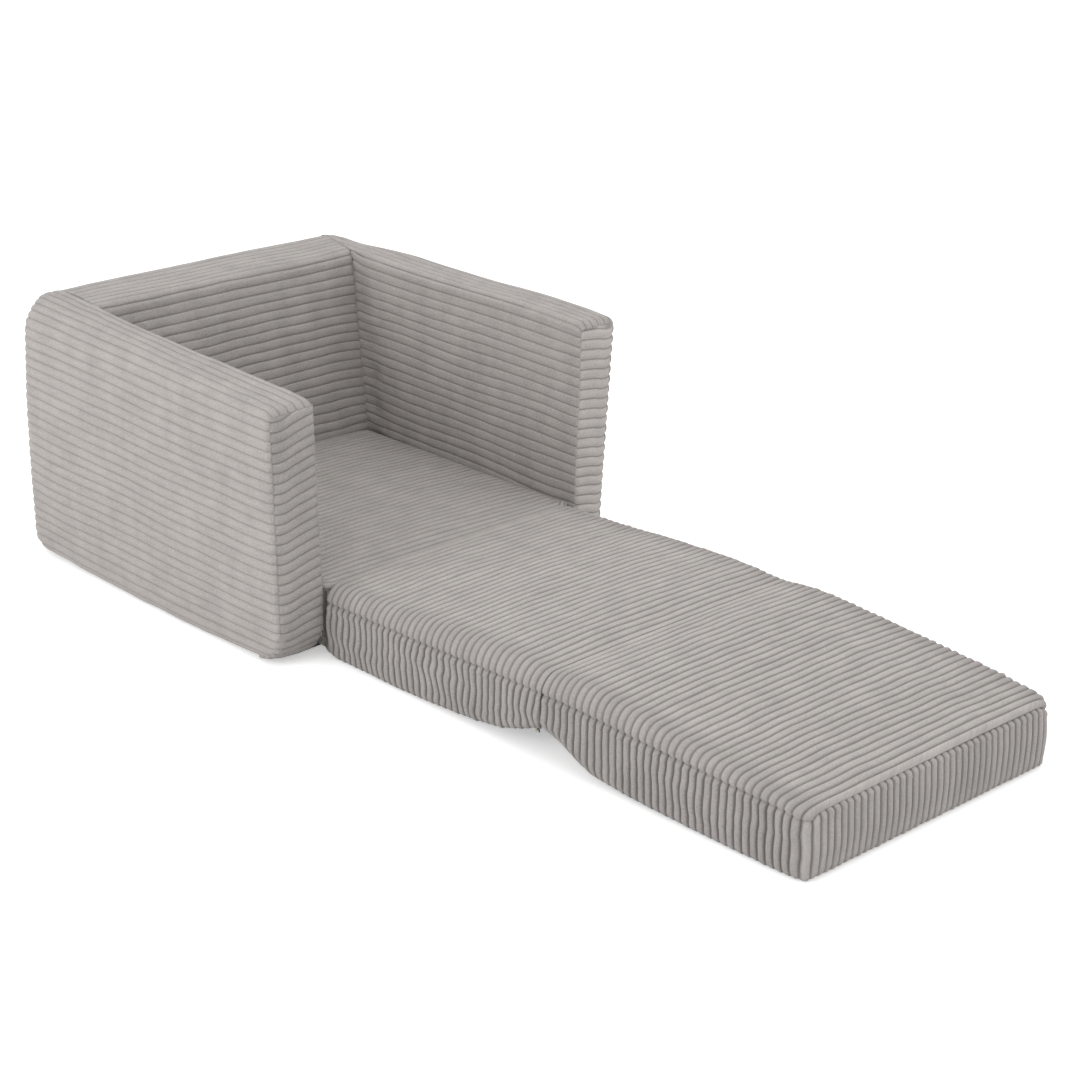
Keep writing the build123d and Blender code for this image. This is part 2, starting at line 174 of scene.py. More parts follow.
PAPER_GLOW = 0.42
floor_look, tree, shader = new_material("floor_white")
set_values(shader, {
    "Base Color": (0.86, 0.86, 0.86, 1), "Roughness": 0.9, "Specular IOR Level": 0.1,
    "Emission Color": (1, 1, 1, 1),
})
rays = tree.nodes.new("ShaderNodeLightPath").outputs
seen = add_math(tree, "MAXIMUM", rays["Is Camera Ray"], rays["Is Glossy Ray"])
seen = add_math(tree, "MAXIMUM", seen, rays["Is Transmission Ray"])
tree.links.new(add_math(tree, "MULTIPLY", seen, PAPER_GLOW), shader.inputs["Emission Strength"])
floor.data.materials.append(floor_look)

# %% [markdown]
# Product photos like this one are lit by a white room and one large soft lamp. Here the
# lamp stands to the left of the camera, hardly higher than it, so the outer side of the
# left arm is the lightest face and shades the inside, and the back's inside is the darkest.

# %% Light
world = bpy.data.worlds.new("white_room")
bpy.context.scene.world = world
world.use_nodes = True
set_values(world.node_tree.nodes["Background"], {"Color": (1, 1, 1, 1), "Strength": 0.98})


def soft_lamp(name, place, aim, size, watts):
    """A square area lamp that looks at a point."""
    turn = (Vector(aim) - Vector(place)).to_track_quat("-Z", "Y").to_euler()
    bpy.ops.object.light_add(type="AREA", location=place, rotation=turn)
    lamp = bpy.context.object
    lamp.name = name
    lamp.data.size = size
    lamp.data.energy = watts


soft_lamp("key_lamp", (-3.1, 0.9, 1.35), (0, -0.1, 0.1), 1.4, 34)
soft_lamp("top_lamp", (0.3, -0.8, 3.3), (0, -0.1, 0), 2.6, 19)
bpy.context.scene.view_settings.view_transform = "Standard"

# %% [markdown]
# ## The corduroy's look
#
# Corduroy is cut pile in ridges, called wales. The ridges themselves are real geometry
# further down. The finish adds what is too fine for that: painted shade in each groove, the
# tiny bunches of pile, and the patches where the pile was stroked another way. All of it
# follows the cloth through the UV map "wale", where one unit is one wale, so it goes round
# corners with the cloth. It is one node group, used with other values by every corduroy.

# %% A node group for pile in wales
pile = bpy.data.node_groups.new("pile_in_wales", "ShaderNodeTree")
for label, kind, value in (
    ("Wale", "NodeSocketVector", None),
    ("Place", "NodeSocketVector", None),
    ("Light Pile", "NodeSocketColor", (0.5, 0.48, 0.46, 1)),
    ("Dark Pile", "NodeSocketColor", (0.4, 0.38, 0.36, 1)),
    ("Groove", "NodeSocketColor", (0.2, 0.19, 0.18, 1)),
    ("Groove Depth", "NodeSocketFloat", 0.7),
    ("Groove Start", "NodeSocketFloat", 0.36),
    ("Patches", "NodeSocketFloat", 0.6),
):
    socket = pile.interface.new_socket(name=label, in_out="INPUT", socket_type=kind)
    if value is not None:
        socket.default_value = value
for label, kind in (("Color", "Color"), ("Roughness", "Float"), ("Height", "Float")):
    pile.interface.new_socket(name=label, in_out="OUTPUT", socket_type="NodeSocket" + kind)
given = pile.nodes.new("NodeGroupInput").outputs
result = pile.nodes.new("NodeGroupOutput").inputs


def wale_noise(stretch, scale, detail, roughness):
    """A noise that follows the wales."""
    return add_noise(pile, add_stretch(pile, given["Wale"], stretch), scale, detail, roughness)


def centred(noise, strength, base):
    """A base value, raised or lowered by how far a noise is from a half."""
    return add_math(pile, "MULTIPLY_ADD", add_math(pile, "SUBTRACT", noise, 0.5), strength, base)


split = pile.nodes.new("ShaderNodeSeparateXYZ")
pile.links.new(given["Wale"], split.inputs[0])
across = add_math(pile, "FRACT", split.outputs["Y"])
from_crest = add_math(pile, "ABSOLUTE", add_math(pile, "SUBTRACT", across, 0.5))
bunches = wale_noise((6, 9, 1), 1.6, 4, 0.65)
# Painted shade: groove marks each groove, and the Groove colour is mixed in there by Groove Depth.
groove = add_range(pile, centred(bunches, 0.14, from_crest), 0.36, 0.52)
pile.links.new(given["Groove Start"], groove.node.inputs["From Min"])
strokes = wale_noise((0.22, 0.9, 1), 1.3, 3, 0.6)
hand_marks = add_noise(pile, add_stretch(pile, given["Place"], (1.3, 1.3, 0.45)), 22.0, 3, 0.55)
ticks = wale_noise((4.5, 1.1, 1), 1.0, 2, 0.5)
tufts = wale_noise((3.2, 3.6, 1), 1.3, 3, 0.7)
lie = centred(strokes, 1.1, 0.0)
lie = centred(ticks, 0.45, centred(hand_marks, 1.3, lie))
lie = add_math(pile, "MULTIPLY_ADD", lie, given["Patches"], 0.5)
lie = centred(tufts, 1.5, centred(bunches, 2.3, lie))
fibre = add_mix(pile, add_range(pile, lie, -0.05, 1.05), given["Dark Pile"], given["Light Pile"])
shade = add_math(pile, "MULTIPLY", groove, given["Groove Depth"])
pile.links.new(add_mix(pile, shade, fibre, given["Groove"]), result["Color"])
pile.links.new(add_range(pile, bunches, 0.2, 0.8, 0.82, 0.98), result["Roughness"])
pile.links.new(add_math(pile, "MULTIPLY_ADD", groove, -0.5, bunches), result["Height"])
print("pile_in_wales has", len(pile.nodes), "nodes")

# %% [markdown]
# Each corduroy is a Principled BSDF with the group's colour, roughness and height. Sheen is
# what makes pile glow where it is seen edge on. The seat's pile is pressed flat, so its
# grooves get pale painted shade; the bands' grooves get the darkest. All their greys are
# equally warm. The pad tops also get painted shade over their long rounded edges, the bands
# painted light on the mattress's free end, and the right arm's front panel a lighter copy as
# painted light.


# %% The corduroys
def warm_grey(red):
    """A warm grey, by its red."""
    return (red, red * 0.935, red * 0.895, 1)


# Where painted shade darkens the pads' long edges, in |x|, and where painted light lightens the
# free end, in y.
PAD_EDGE, FREE_END = (0.160, 0.193), (-0.660, -0.676)


def fabric(name, roughness, sheen):
    """A new fabric material, its tree and its shader."""
    material, tree, shader = new_material(name)
    set_values(shader, {
        "Roughness": roughness, "Specular IOR Level": 0.15, "Sheen Weight": sheen,
        "Sheen Roughness": 0.45, "Sheen Tint": (1, 0.98, 0.96, 1),
    })
    return material, tree, shader


def corduroy(name, light, dark, groove, depth, start=0.36, sides=0.0, free_end=0.0):
    """One corduroy finish from three greys and how deep and wide the painted shade in its grooves
    is.

    sides is how much painted shade darkens the pads' long rounded edges, and free_end how much
    painted light lightens the mattress's free end.
    """
    material, tree, shader = fabric(name, 0.9, 0.12)
    node = tree.nodes.new("ShaderNodeGroup")
    node.node_tree = pile
    wale_map = tree.nodes.new("ShaderNodeUVMap")
    wale_map.uv_map = "wale"
    place = tree.nodes.new("ShaderNodeTexCoord").outputs["Object"]
    tree.links.new(wale_map.outputs["UV"], node.inputs["Wale"])
    tree.links.new(place, node.inputs["Place"])
    set_values(node, {
        "Light Pile": warm_grey(light), "Dark Pile": warm_grey(dark), "Groove": warm_grey(groove),
        "Groove Depth": depth, "Groove Start": start, "Patches": 0.6,
    })
    apart = tree.nodes.new("ShaderNodeSeparateXYZ")
    tree.links.new(place, apart.inputs[0])
    # Painted shade: over the pads' long rounded edges the colour is mixed towards the groove grey,
    # by sides.
    out = add_math(tree, "ABSOLUTE", apart.outputs["X"])
    painted_edge_shade = add_range(tree, out, *PAD_EDGE, 0.0, sides)
    with_painted_edge_shade = add_mix(tree, painted_edge_shade, node.outputs["Color"], warm_grey(groove))
    # Painted light: on the mattress's free end the colour is mixed towards a light grey, by
    # free_end.
    painted_end_light = add_range(tree, apart.outputs["Y"], *FREE_END, 0.0, free_end)
    lit = add_mix(tree, painted_end_light, with_painted_edge_shade, (0.78, 0.73, 0.7, 1))
    tree.links.new(lit, shader.inputs["Base Color"])
    tree.links.new(node.outputs["Roughness"], shader.inputs["Roughness"])
    add_bump(tree, shader, node.outputs["Height"], 0.8, 0.0014)
    return material


shell_corduroy = corduroy("corduroy_shell", 0.475, 0.325, 0.2, depth=0.45)
front_corduroy = corduroy("corduroy_front", 0.465, 0.315, 0.14, depth=0.6)
# Painted light: a lighter copy of corduroy_front, for the right arm's front panel.
lit_front_corduroy = corduroy("corduroy_front_right", 0.6, 0.43, 0.17, depth=0.6)
seat_corduroy = corduroy("corduroy_seat", 0.515, 0.36, 0.17, depth=0.62, start=0.25)
top_corduroy = corduroy("corduroy_pad_top", 0.54, 0.38, 0.17, depth=0.66, start=0.24, sides=0.26)
band_corduroy = corduroy("corduroy_band", 0.45, 0.3, 0.1, depth=0.8, start=0.22, free_end=0.15)

# %% [markdown]
# The plain cloths: a matt non-slip cloth with small dots under everything, a tightly woven
# cloth at the folds, and the foam, which is only seen through a torn cover but is finished
# all the same.


# %% Foam and plain cloths
def plain_fabric(name, colour, spread, scale, bump_depth, sheen=0.1):
    """A fabric with a fine even grain; also returns its place and colour outputs."""
    material, tree, shader = fabric(name, 0.9, sheen)
    place = tree.nodes.new("ShaderNodeTexCoord").outputs["Object"]
    grain = add_noise(tree, place, scale, 4, 0.6)
    dark = (*(c * (1 - spread) for c in colour), 1)
    light = (*(min(c * (1 + spread), 1) for c in colour), 1)
    colour_out = add_mix(tree, add_range(tree, grain, 0.25, 0.75), dark, light)
    tree.links.new(colour_out, shader.inputs["Base Color"])
    tree.links.new(add_range(tree, grain, 0.2, 0.8, 0.8, 1.0), shader.inputs["Roughness"])
    add_bump(tree, shader, grain, 0.4, bump_depth)
    return material, tree, shader, place, colour_out


def add_texture(tree, kind, vector, values, **settings):
    """A texture node on a vector."""
    node = tree.nodes.new(kind)
    for label, value in settings.items():
        setattr(node, label, value)
    set_values(node, values)
    tree.links.new(vector, node.inputs["Vector"])
    return node.outputs


foam_look = plain_fabric("foam_cream", (0.72, 0.66, 0.50), 0.10, 700, 0.0006)[0]

fold_look, tree, shader, place, _ = plain_fabric(
    "fold_cloth", (0.36, 0.333, 0.315), 0.10, 400, 0.0003
)
weave = add_texture(tree, "ShaderNodeTexWave", place, {"Scale": 420, "Distortion": 1.5})
add_bump(tree, shader, weave["Fac"], 0.5, 0.0004)

base_look, tree, shader, place, plain = plain_fabric(
    "base_cloth_dotted", (0.045, 0.045, 0.047), 0.25, 500, 0.0003, 0.0
)
cells = add_texture(
    tree, "ShaderNodeTexVoronoi", place, {"Scale": 125, "Randomness": 0.0},
    voronoi_dimensions="2D",
)
dot = add_range(tree, cells["Distance"], 0.30, 0.24)
tree.links.new(add_mix(tree, dot, plain, (0.09, 0.09, 0.094, 1)), shader.inputs["Base Color"])
shine = add_range(tree, cells["Distance"], 0.30, 0.24, 0.95, 0.5)
tree.links.new(shine, shader.inputs["Roughness"])
add_bump(tree, shader, dot, 0.8, 0.0006)
print("fabrics:", [m.name for m in bpy.data.materials if m.users or m.use_nodes][:12])

# %% [markdown]
# ## The foam
#
# Every block is soft foam cut a little larger than its cover, so the cover presses on it
# and the foam bulges where nothing holds it. The blocks are simulated as inflated cloth
# from the CAD foam's shape: voxels first, because the simulation wants even faces, then
# twenty frames of pressure, then the bulge is scaled so it stays a few millimetres. The
# covers further down are laid over this bulge, and the foam is tucked under them at the end.


# %% Simulate the foam blocks
PRESSURE_FRAMES = 20


def activate(*pieces):
    """Selects these objects alone; the last one becomes active."""
    bpy.ops.object.select_all(action="DESELECT")
    for piece in pieces:
        piece.select_set(True)
    bpy.context.view_layer.objects.active = pieces[-1]


def mesh_points(mesh):
    """A mesh's points, in metres."""
    flat = np.zeros(len(mesh.vertices) * 3)
    mesh.vertices.foreach_get("co", flat)
    return flat.reshape(-1, 3)


def bulge_foam(name, most):
    """A foam block from its CAD node; keeps where its points were and how far they moved."""
    bpy.ops.object.select_all(action="DESELECT")
    bpy.ops.mesh.primitive_cube_add(size=1)
    core = bpy.context.object
    core.name = name + "_core"
    core.data = bpy.data.objects[name + "_foam"].data.copy()
    core.data.materials.clear()
    core.data.materials.append(foam_look)
    remesh = core.modifiers.new("even faces", "REMESH")
    remesh.mode = "VOXEL"
    remesh.voxel_size = 0.0065
    bpy.ops.object.modifier_apply(modifier=remesh.name)
    smooth = core.modifiers.new("cut edges", "SMOOTH")
    smooth.factor = 0.5
    smooth.iterations = 8
    bpy.ops.object.modifier_apply(modifier=smooth.name)
    before = after = mesh_points(core.data)
    cloth = core.modifiers.new("pressure", "CLOTH")
    cloth.settings.quality = 4
    cloth.settings.use_pressure = True
    cloth.settings.uniform_pressure_force = 4
    cloth.settings.effector_weights.gravity = 0
    cloth.point_cache.frame_start = 1
    cloth.point_cache.frame_end = PRESSURE_FRAMES
    for number in range(1, PRESSURE_FRAMES + 1):
        bpy.context.scene.frame_set(number)
    bpy.ops.object.modifier_apply(modifier=cloth.name)
    bpy.context.scene.frame_set(1)
    after = mesh_points(core.data)
    moved = (after - before) / MM
    reach = np.linalg.norm(moved, axis=1)
    count = len(moved)
    print(f"{core.name}: {count} points, moved up to {reach.max():.1f} mm, mean {reach.mean():.1f}")
    tree = KDTree(count)
    for i, place in enumerate(before / MM):
        tree.insert(place, i)
    tree.balance()
    moved = moved * min(1, most / max(np.percentile(reach, 99), 1e-6))
    return {"core": core, "before": before / MM, "moved": moved, "tree": tree}


def soften(field, times):
    """Averages a field over neighbouring points of its grid."""
    for _ in range(times):
        padded = np.pad(field, 1, mode="edge")
        beside = padded[1:-1, :-2] + padded[1:-1, 2:]
        field = (padded[:-2, 1:-1] + padded[2:, 1:-1] + beside + 2 * field) / 6
    return field


def foam_bulge(block, points, normals):
    """How far the foam under each point bulges along the point's normal, in mm."""
    rows, columns = points.shape[:2]
    kept = np.unique(np.append(np.arange(0, rows, 3), rows - 1))
    field = np.zeros((len(kept), columns))
    for a, i in enumerate(kept):
        for j in range(columns):
            index = block["tree"].find(points[i, j])[1]
            field[a, j] = block["moved"][index] @ normals[i, j]
    field = soften(np.clip(field, -1.0, 9.0), 6)
    return np.stack([np.interp(np.arange(rows), kept, column) for column in field.T], axis=1)


FOAM = {
    name: bulge_foam(name, most)
    for name, most in (
        ("back", 6.0), ("left_arm", 4.5), ("right_arm", 4.5),
        ("seat", 4.0), ("middle_pad", 3.5), ("end_pad", 3.5),
    )
}
SKINS = {}

# %% [markdown]
# ## How a corduroy cover is made
#
# A cover could be a smooth shell with a bump texture, but the wales of this sofa show along
# every outline, so they have to be geometry. One cover is one grid: its rows run across
# the wales, eight to a wale, and its columns run along them. The grid is first laid as a
# smooth sheet over the foam, then every point is lifted along the sheet's normal by the
# height of the pile there. At a seam the cloth dips and is turned in, as it is when sewn.

# %% Places along and across a wale
WALE_STEPS = np.array([0.0, 0.07, 0.18, 0.34, 0.5, 0.66, 0.82, 0.93])
SEAM_STEPS = np.array([0.0, 0.8, 1.8, 3.2, 5.2])


def wale_places(first, last):
    """Row places, in wales, from first to last."""
    whole = np.arange(math.floor(first), math.ceil(last) + 1)
    places = (whole[:, None] + WALE_STEPS).ravel()
    inside = places[(places > first + 0.02) & (places < last - 0.02)]
    return np.concatenate([[first], inside, [last]])


def seam_places(length, step):
    """Fractions of a length in mm: even steps, and closer ones at both ends."""
    start = SEAM_STEPS[-1] + 0.6 * step
    count = max(int(round((length - 2 * SEAM_STEPS[-1] - 2 * step * 0.6) / step)), 1)
    even = np.linspace(start, length - start, count + 1)
    return np.concatenate([SEAM_STEPS, even, length - SEAM_STEPS[::-1]]) / length


def pile_height(phase, fullness):
    """0 in the groove and 1 on the crest of a wale."""
    t = phase - np.floor(phase)
    return 1 - np.abs(2 * t - 1) ** fullness


def drift(a, b, seed):
    """A smooth wandering between -1 and 1 over two coordinates, the same each run."""
    rng = np.random.default_rng(seed)
    total = 0.0
    for weight in (0.4, 0.3, 0.2, 0.1):
        turn = rng.uniform(0, 2 * math.pi)
        speed = rng.uniform(0.7, 1.3) / weight * 0.4
        shift = rng.uniform(0, 2 * math.pi)
        wave = speed * (a * math.cos(turn) + b * math.sin(turn))
        total = total + weight * np.sin(2 * math.pi * wave + shift)
    return total


def ease(value, low, high):
    """A smooth step from 0 at low to 1 at high."""
    t = np.clip((value - low) / (high - low), 0, 1)
    return t * t * (3 - 2 * t)


def rounding(distance, radius):
    """How far a rounded edge has fallen at a distance in from it."""
    d = np.clip(distance, 0, radius)
    return radius - np.sqrt(np.maximum(radius**2 - (radius - d) ** 2, 0))


def both_ends(y, front, rear, radii):
    """The roundings at a piece's front and rear, together."""
    return rounding(y - front, radii[0]) + rounding(rear - y, radii[1])


def bell(value, width):
    """1 at nought, falling to nothing within a few widths."""
    return np.exp(-((value / width) ** 2))


def unit(vectors):
    """Vectors of length one."""
    length = np.linalg.norm(vectors, axis=-1, keepdims=True)
    return vectors / np.maximum(length, 1e-9)


def xyz(*parts):
    """Points from their coordinates, each a number or a field."""
    return np.stack(np.broadcast_arrays(*parts), axis=-1)


def reach_along(line):
    """The length along a polyline, at each of its points."""
    return np.concatenate([[0], np.cumsum(np.linalg.norm(np.diff(line, axis=0), axis=1))])


def points_at(at, reach, line):
    """What a line's columns are at some places along it."""
    return np.stack([np.interp(at, reach, column) for column in line.T], axis=1)


def respace(line, fractions):
    """Points at fractions of the length of a polyline."""
    reach = reach_along(line)
    return points_at(fractions * reach[-1], reach, line)


def arc_lengths(grid, axis):
    """Length along the grid from its first line, for every point."""
    steps = np.linalg.norm(np.diff(grid, axis=axis), axis=2)
    first = np.zeros_like(np.take(steps, [0], axis=axis))
    return np.cumsum(np.concatenate([first, steps], axis=axis), axis=axis)


def grid_normals(grid):
    """The sheet's unit normals; rows that were squeezed to nothing copy their neighbour's."""
    normal = np.cross(np.gradient(grid, axis=1), np.gradient(grid, axis=0))
    real = np.linalg.norm(normal, axis=2) > 1e-4
    normal = unit(normal)
    for order in (range(1, len(grid)), range(len(grid) - 2, -1, -1)):
        for i in order:
            j = i - order.step
            copy = ~real[i] & real[j]
            normal[i, copy] = normal[j, copy]
            real[i] |= copy
    return normal


def sway(sheet, amount):
    """Moves points along the rows, which makes the wales wave."""
    return sheet + unit(np.gradient(sheet, axis=0)) * amount[:, :, None]


# %% [markdown]
# A grid primitive of the right count is bent into the cover: its points are moved to their
# places and it gets its "wale" map. Where wales end early at a slanting seam, their rows
# are squeezed together there, and those points are merged.


# %% From points to a cover
def grid_object(name, points, wale_uv, material):
    """A grid primitive with its points moved to their places, in mm, and its UV map."""
    rows, columns = points.shape[:2]
    bpy.ops.object.select_all(action="DESELECT")
    bpy.ops.mesh.primitive_grid_add(x_subdivisions=columns - 1, y_subdivisions=rows - 1, size=1)
    cover = bpy.context.object
    cover.name = name
    mesh = cover.data
    assert len(mesh.vertices) == rows * columns, (name, len(mesh.vertices), rows * columns)
    mesh.vertices.foreach_set("co", (points * MM).astype(np.float32).ravel())
    corner_vertex = np.zeros(len(mesh.loops), int)
    mesh.loops.foreach_get("vertex_index", corner_vertex)
    mesh.uv_layers[0].name = "wale"
    uv = wale_uv.reshape(-1, 2)[corner_vertex]
    mesh.uv_layers["wale"].data.foreach_set("uv", uv.astype(np.float32).ravel())
    mesh.materials.append(material)
    work = bmesh.new()
    work.from_mesh(mesh)
    bmesh.ops.remove_doubles(work, verts=work.verts, dist=0.00002)
    bmesh.ops.dissolve_degenerate(work, dist=0.00001, edges=work.edges)
    work.to_mesh(mesh)
    work.free()
    bpy.ops.object.shade_smooth()
    mesh.update()
    return cover


TURN_IN = 4.0
FLOOR_GAP = 0.2
FAR_FROM_SEAM = 99.0


def lay_cover(
    name, smooth, phase, material, inside, foam, seed, relief=2.2, fullness=2.4,
    sew=(1, 1, 1, 1), dip=1.2, cropped=0.7, pinch=2.4, knuckle=0.0,
    weight=1.0, stand=0.0, follow=1.0,
):
    """A corduroy cover over a smooth sheet of points in mm.

    phase is each row's place in wales; inside is a point within the piece. foam is the
    block beneath, and follow how much of its bulge the cover takes; stand lifts the sheet
    further. sew says which borders are seams: first row, last row, first column, last
    column. There the cloth goes down by dip and the pile loses a part of its height,
    cropped; with a knuckle each wale swells before it and the grooves go down more than
    the crests. Where weight is small the wales are pressed flat.
    """
    rows, columns = smooth.shape[:2]
    stand = np.broadcast_to(stand, (rows, columns))
    weight = np.broadcast_to(weight, (rows, columns))
    normal = grid_normals(smooth)
    if (normal * (smooth - np.asarray(inside))).sum() < 0:
        smooth, stand, weight = smooth[:, ::-1], stand[:, ::-1], weight[:, ::-1]
        normal = grid_normals(smooth)
        sew = (sew[0], sew[1], sew[3], sew[2])
    grounded = np.clip(smooth[:, :, 2] / 30, 0, 1)
    stand = stand + follow * foam_bulge(FOAM[foam], smooth, normal) * grounded
    SKINS[name] = (smooth + normal * stand[:, :, None], normal)
    phase = np.broadcast_to(np.asarray(phase, float).reshape(rows, -1), (rows, columns))
    down, along = arc_lengths(smooth, 0), arc_lengths(smooth, 1)
    number = np.floor(phase)
    tall = 1 + 0.07 * np.random.default_rng(seed).standard_normal(400)[number.astype(int) % 400]
    tall = tall * (1 + 0.10 * drift(along / 55, number * 0.37, seed + 7))
    gaps = (down - down[:1], down[-1:] - down, along - along[:, :1], along[:, -1:] - along)
    near = np.full((rows, columns), FAR_FROM_SEAM)
    for sewn, gap in zip(sew, gaps):
        if sewn:
            near = np.minimum(near, gap)
    ridge = pile_height(phase, fullness)
    dips = dip * bell(near, pinch) * (1 + knuckle * (0.3 - 0.6 * ridge))
    held = 1 - cropped * bell(near, pinch + 0.2) + 0.3 * knuckle * bell(near - 6.5, 2.8)
    ridge = ridge * held * weight + 0.6 * (1 - weight)
    tufts = 0.09 * drift(along / 9, phase * 0.8, seed + 3) * ridge
    rise = relief * tall * ridge - 0.55 * relief + tufts + stand - dips
    edge = ((1, 1), (1, 1), (0, 0))
    full = np.pad(smooth + normal * rise[:, :, None], edge, mode="edge")
    border = np.ones(full.shape[:2], bool)
    border[1:-1, 1:-1] = False
    full[border] -= np.pad(normal, edge, mode="edge")[border] * TURN_IN
    full[:, :, 2] = np.maximum(full[:, :, 2], FLOOR_GAP)
    uv = np.pad(xyz(along / 12.0, phase), edge, mode="edge")
    cover = grid_object(name, full, uv, material)
    print(f"{name}: {len(cover.data.polygons)} faces")
    return cover


def hand_over(body, pieces):
    """Puts finished covers on their body, in the place of their solids."""
    for piece, node, slot in pieces:
        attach(piece, body)
        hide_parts(node)


# %% [markdown]
# ## What gives way when the mattress is folded
#
# Folded, the mattress is a little wider than the space between the arms, and it lies on the
# seat. All of it is foam, so the pads are squeezed in at their sides and the seat is pressed
# down. The table gives each of these pieces the fold that presses it, the axis and how far it
# would be squashed; here each only gets a mesh of its own.


# %% Soft parts that give way
PRESSED = {
    "seat": ("seat_fold", (0, 0, 1), 0.915),
    "middle_pad": ("seat_fold", (1, 0, 0), 0.962),
    "end_pad": ("pad_fold", (1, 0, 0), 0.968),
}


def press(piece, block):
    """Gives a soft piece a mesh of its own if a joint presses on its block; it is not squashed
    here.
    """
    if block in PRESSED:
        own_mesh(piece)


# %% [markdown]
# ## The pads' shape
#
# Both mattress pads are boxed cushions. Seen from the side, the middle pad lies on the
# floor behind and is lifted towards the ridge between the pads; the end pad's underside is
# cut away below the ridge, and its top falls from there to its free end. The long top
# edges are softly rounded, the more so the nearer they are to the ridge.

# %% Measures of the pads, in mm, from the frame
FOAM_INSET = 3.3
END_BULGE = 4.5
PAD_WALES = 35
low, high = (np.array(c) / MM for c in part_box("middle_pad_foam"))
middle_rear = high[1] + FOAM_INSET
middle_front = low[1] - FOAM_INSET - 0.2
half_width = high[0] + FOAM_INSET + 2.0
low, high = (np.array(c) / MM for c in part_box("end_pad_foam"))
end_rear = high[1] + FOAM_INSET + 0.2
end_front = low[1] - FOAM_INSET - END_BULGE
print("pads run from", round(middle_rear, 1), "to", round(middle_front, 1),
      "and", round(end_rear, 1), "to", round(end_front, 1))


# %% [markdown]
# Each pad is described by a few lines along its length, and by how its ends are rounded.


# %% The two pads
class Pad:
    """One pad's surfaces, all in mm; each line is a list of y and a list of values there.

    corner rounds the outline's corners, end_round the top's ends and end_under the ends
    underneath, each at the front and the rear. base_inset is where the base cloth starts
    and roll how far the top's front seam is rolled back.
    """

    roll = 0.0

    def __init__(self, name, **measures):
        self.name = name
        self.__dict__.update(measures)
        self.middle = (self.front + self.rear) / 2

    def top(self, y):
        """The top's height along the middle."""
        return np.interp(y, *self.top_line)

    def seam(self, y):
        """The height of the seam between top and boxing."""
        return np.interp(y, *self.seam_line)

    def bottom(self, y):
        """The underside's height."""
        line = np.interp(y, *self.bottom_line)
        return line + both_ends(y, self.front, self.rear, self.end_under)

    def width(self, y):
        """Half the width, with the sides' slight belly and the corners' rounding in plan."""
        belly = half_width - 1.6 * ((y - self.middle) / (self.rear - self.middle)) ** 2
        return belly - both_ends(y, self.front, self.rear, self.corner)


middle_pad = Pad(
    "middle_pad", front=middle_front, rear=middle_rear, seed=11,
    top_line=(
        [middle_front, -273, -240, -207, -170, -104, -33, 20, 60, middle_rear],
        [103.0, 104.5, 106.5, 107.5, 107, 104, 99.5, 97, 95.5, 94.5],
    ),
    seam_line=([middle_front, -200, -100, middle_rear], [80, 79, 76, 72]),
    bottom_line=(
        [middle_front, -270, -251, -217, -183, -148, -112, -76, -41, middle_rear],
        [39, 32, 24.5, 13.5, 8.5, 5.5, 3.5, 1.8, 0.4, 0.4],
    ),
    edge_line=([middle_front, middle_rear], [26, 24]),
    corner=(2, 5), end_round=(0.9, 1.2), end_under=(2, 11), base_inset=(20, 12),
)
end_pad = Pad(
    "end_pad", front=end_front, rear=end_rear, seed=23, roll=2.6,
    top_line=(
        [end_front, -655, -600, -520, -430, -368, -336, -305, end_rear],
        [79.5, 82, 87, 94, 102, 107, 108.5, 106.5, 103.0],
    ),
    seam_line=([end_front, -600, -450, -350, end_rear], [72, 73.5, 77, 80, 80]),
    bottom_line=(
        [end_front, -560, -500, -442, -411, -380, -365, -349, -335, -317, -300, end_rear],
        [0.4, 0.4, 1.2, 2.5, 4, 6, 8.5, 13, 20, 30, 35, 37],
    ),
    edge_line=([end_front, -600, end_rear], [9, 13, 26]),
    corner=(23, 2), end_round=(9, 0.9), end_under=(10, 2), base_inset=(20, 100),
)

# %% [markdown]
# The top cover's rows follow the pad's profile from the seam on one end wall, over the top,
# to the seam on the other, with the wales shared out evenly. Each row is a cross-section
# from the seam on one long side to the seam on the other.

# %% The top cover as a smooth sheet
CROWN = 3.0


def end_profile(pad):
    """The top's line from rear seam to front seam, as points (y, z)."""
    def quarter(y_edge, direction, radius):
        """A rounded end: places in y, and how far the top has fallen there."""
        angles = np.radians(np.linspace(0, 90, 10))
        y = y_edge + direction * radius * (1 - np.cos(angles))
        return y, radius * (1 - np.sin(angles))

    y_rear, fall_rear = quarter(pad.rear, -1, pad.end_round[1])
    y_front, fall_front = quarter(pad.front, 1, pad.end_round[0])
    y_mid = np.linspace(y_rear[-1] - 2, y_front[-1] + 2, 160)
    y = np.concatenate([[pad.rear], y_rear, y_mid, y_front[::-1], [pad.front]])
    fall = np.concatenate([[0], fall_rear, np.zeros(160), fall_front[::-1], [0]])
    z = pad.top(y) - fall
    z[0] = pad.seam(pad.rear)
    z[-1] = pad.seam(pad.front)
    return xyz(y, z)[(y > pad.front + pad.roll * 0.6) | (pad.roll == 0)]


def soft_corner(pad, sheet):
    """Presses in the two top corners at a pad's free end."""
    if not pad.roll:
        return sheet
    x, y, z = sheet[..., 0], sheet[..., 1], sheet[..., 2]
    near = bell(np.hypot(half_width - np.abs(x), y - pad.front), 17) * ease(z, 20, 80)
    return xyz(x - 0.6 * np.sign(x) * near, y + 0.6 * near, z - 6.0 * near)


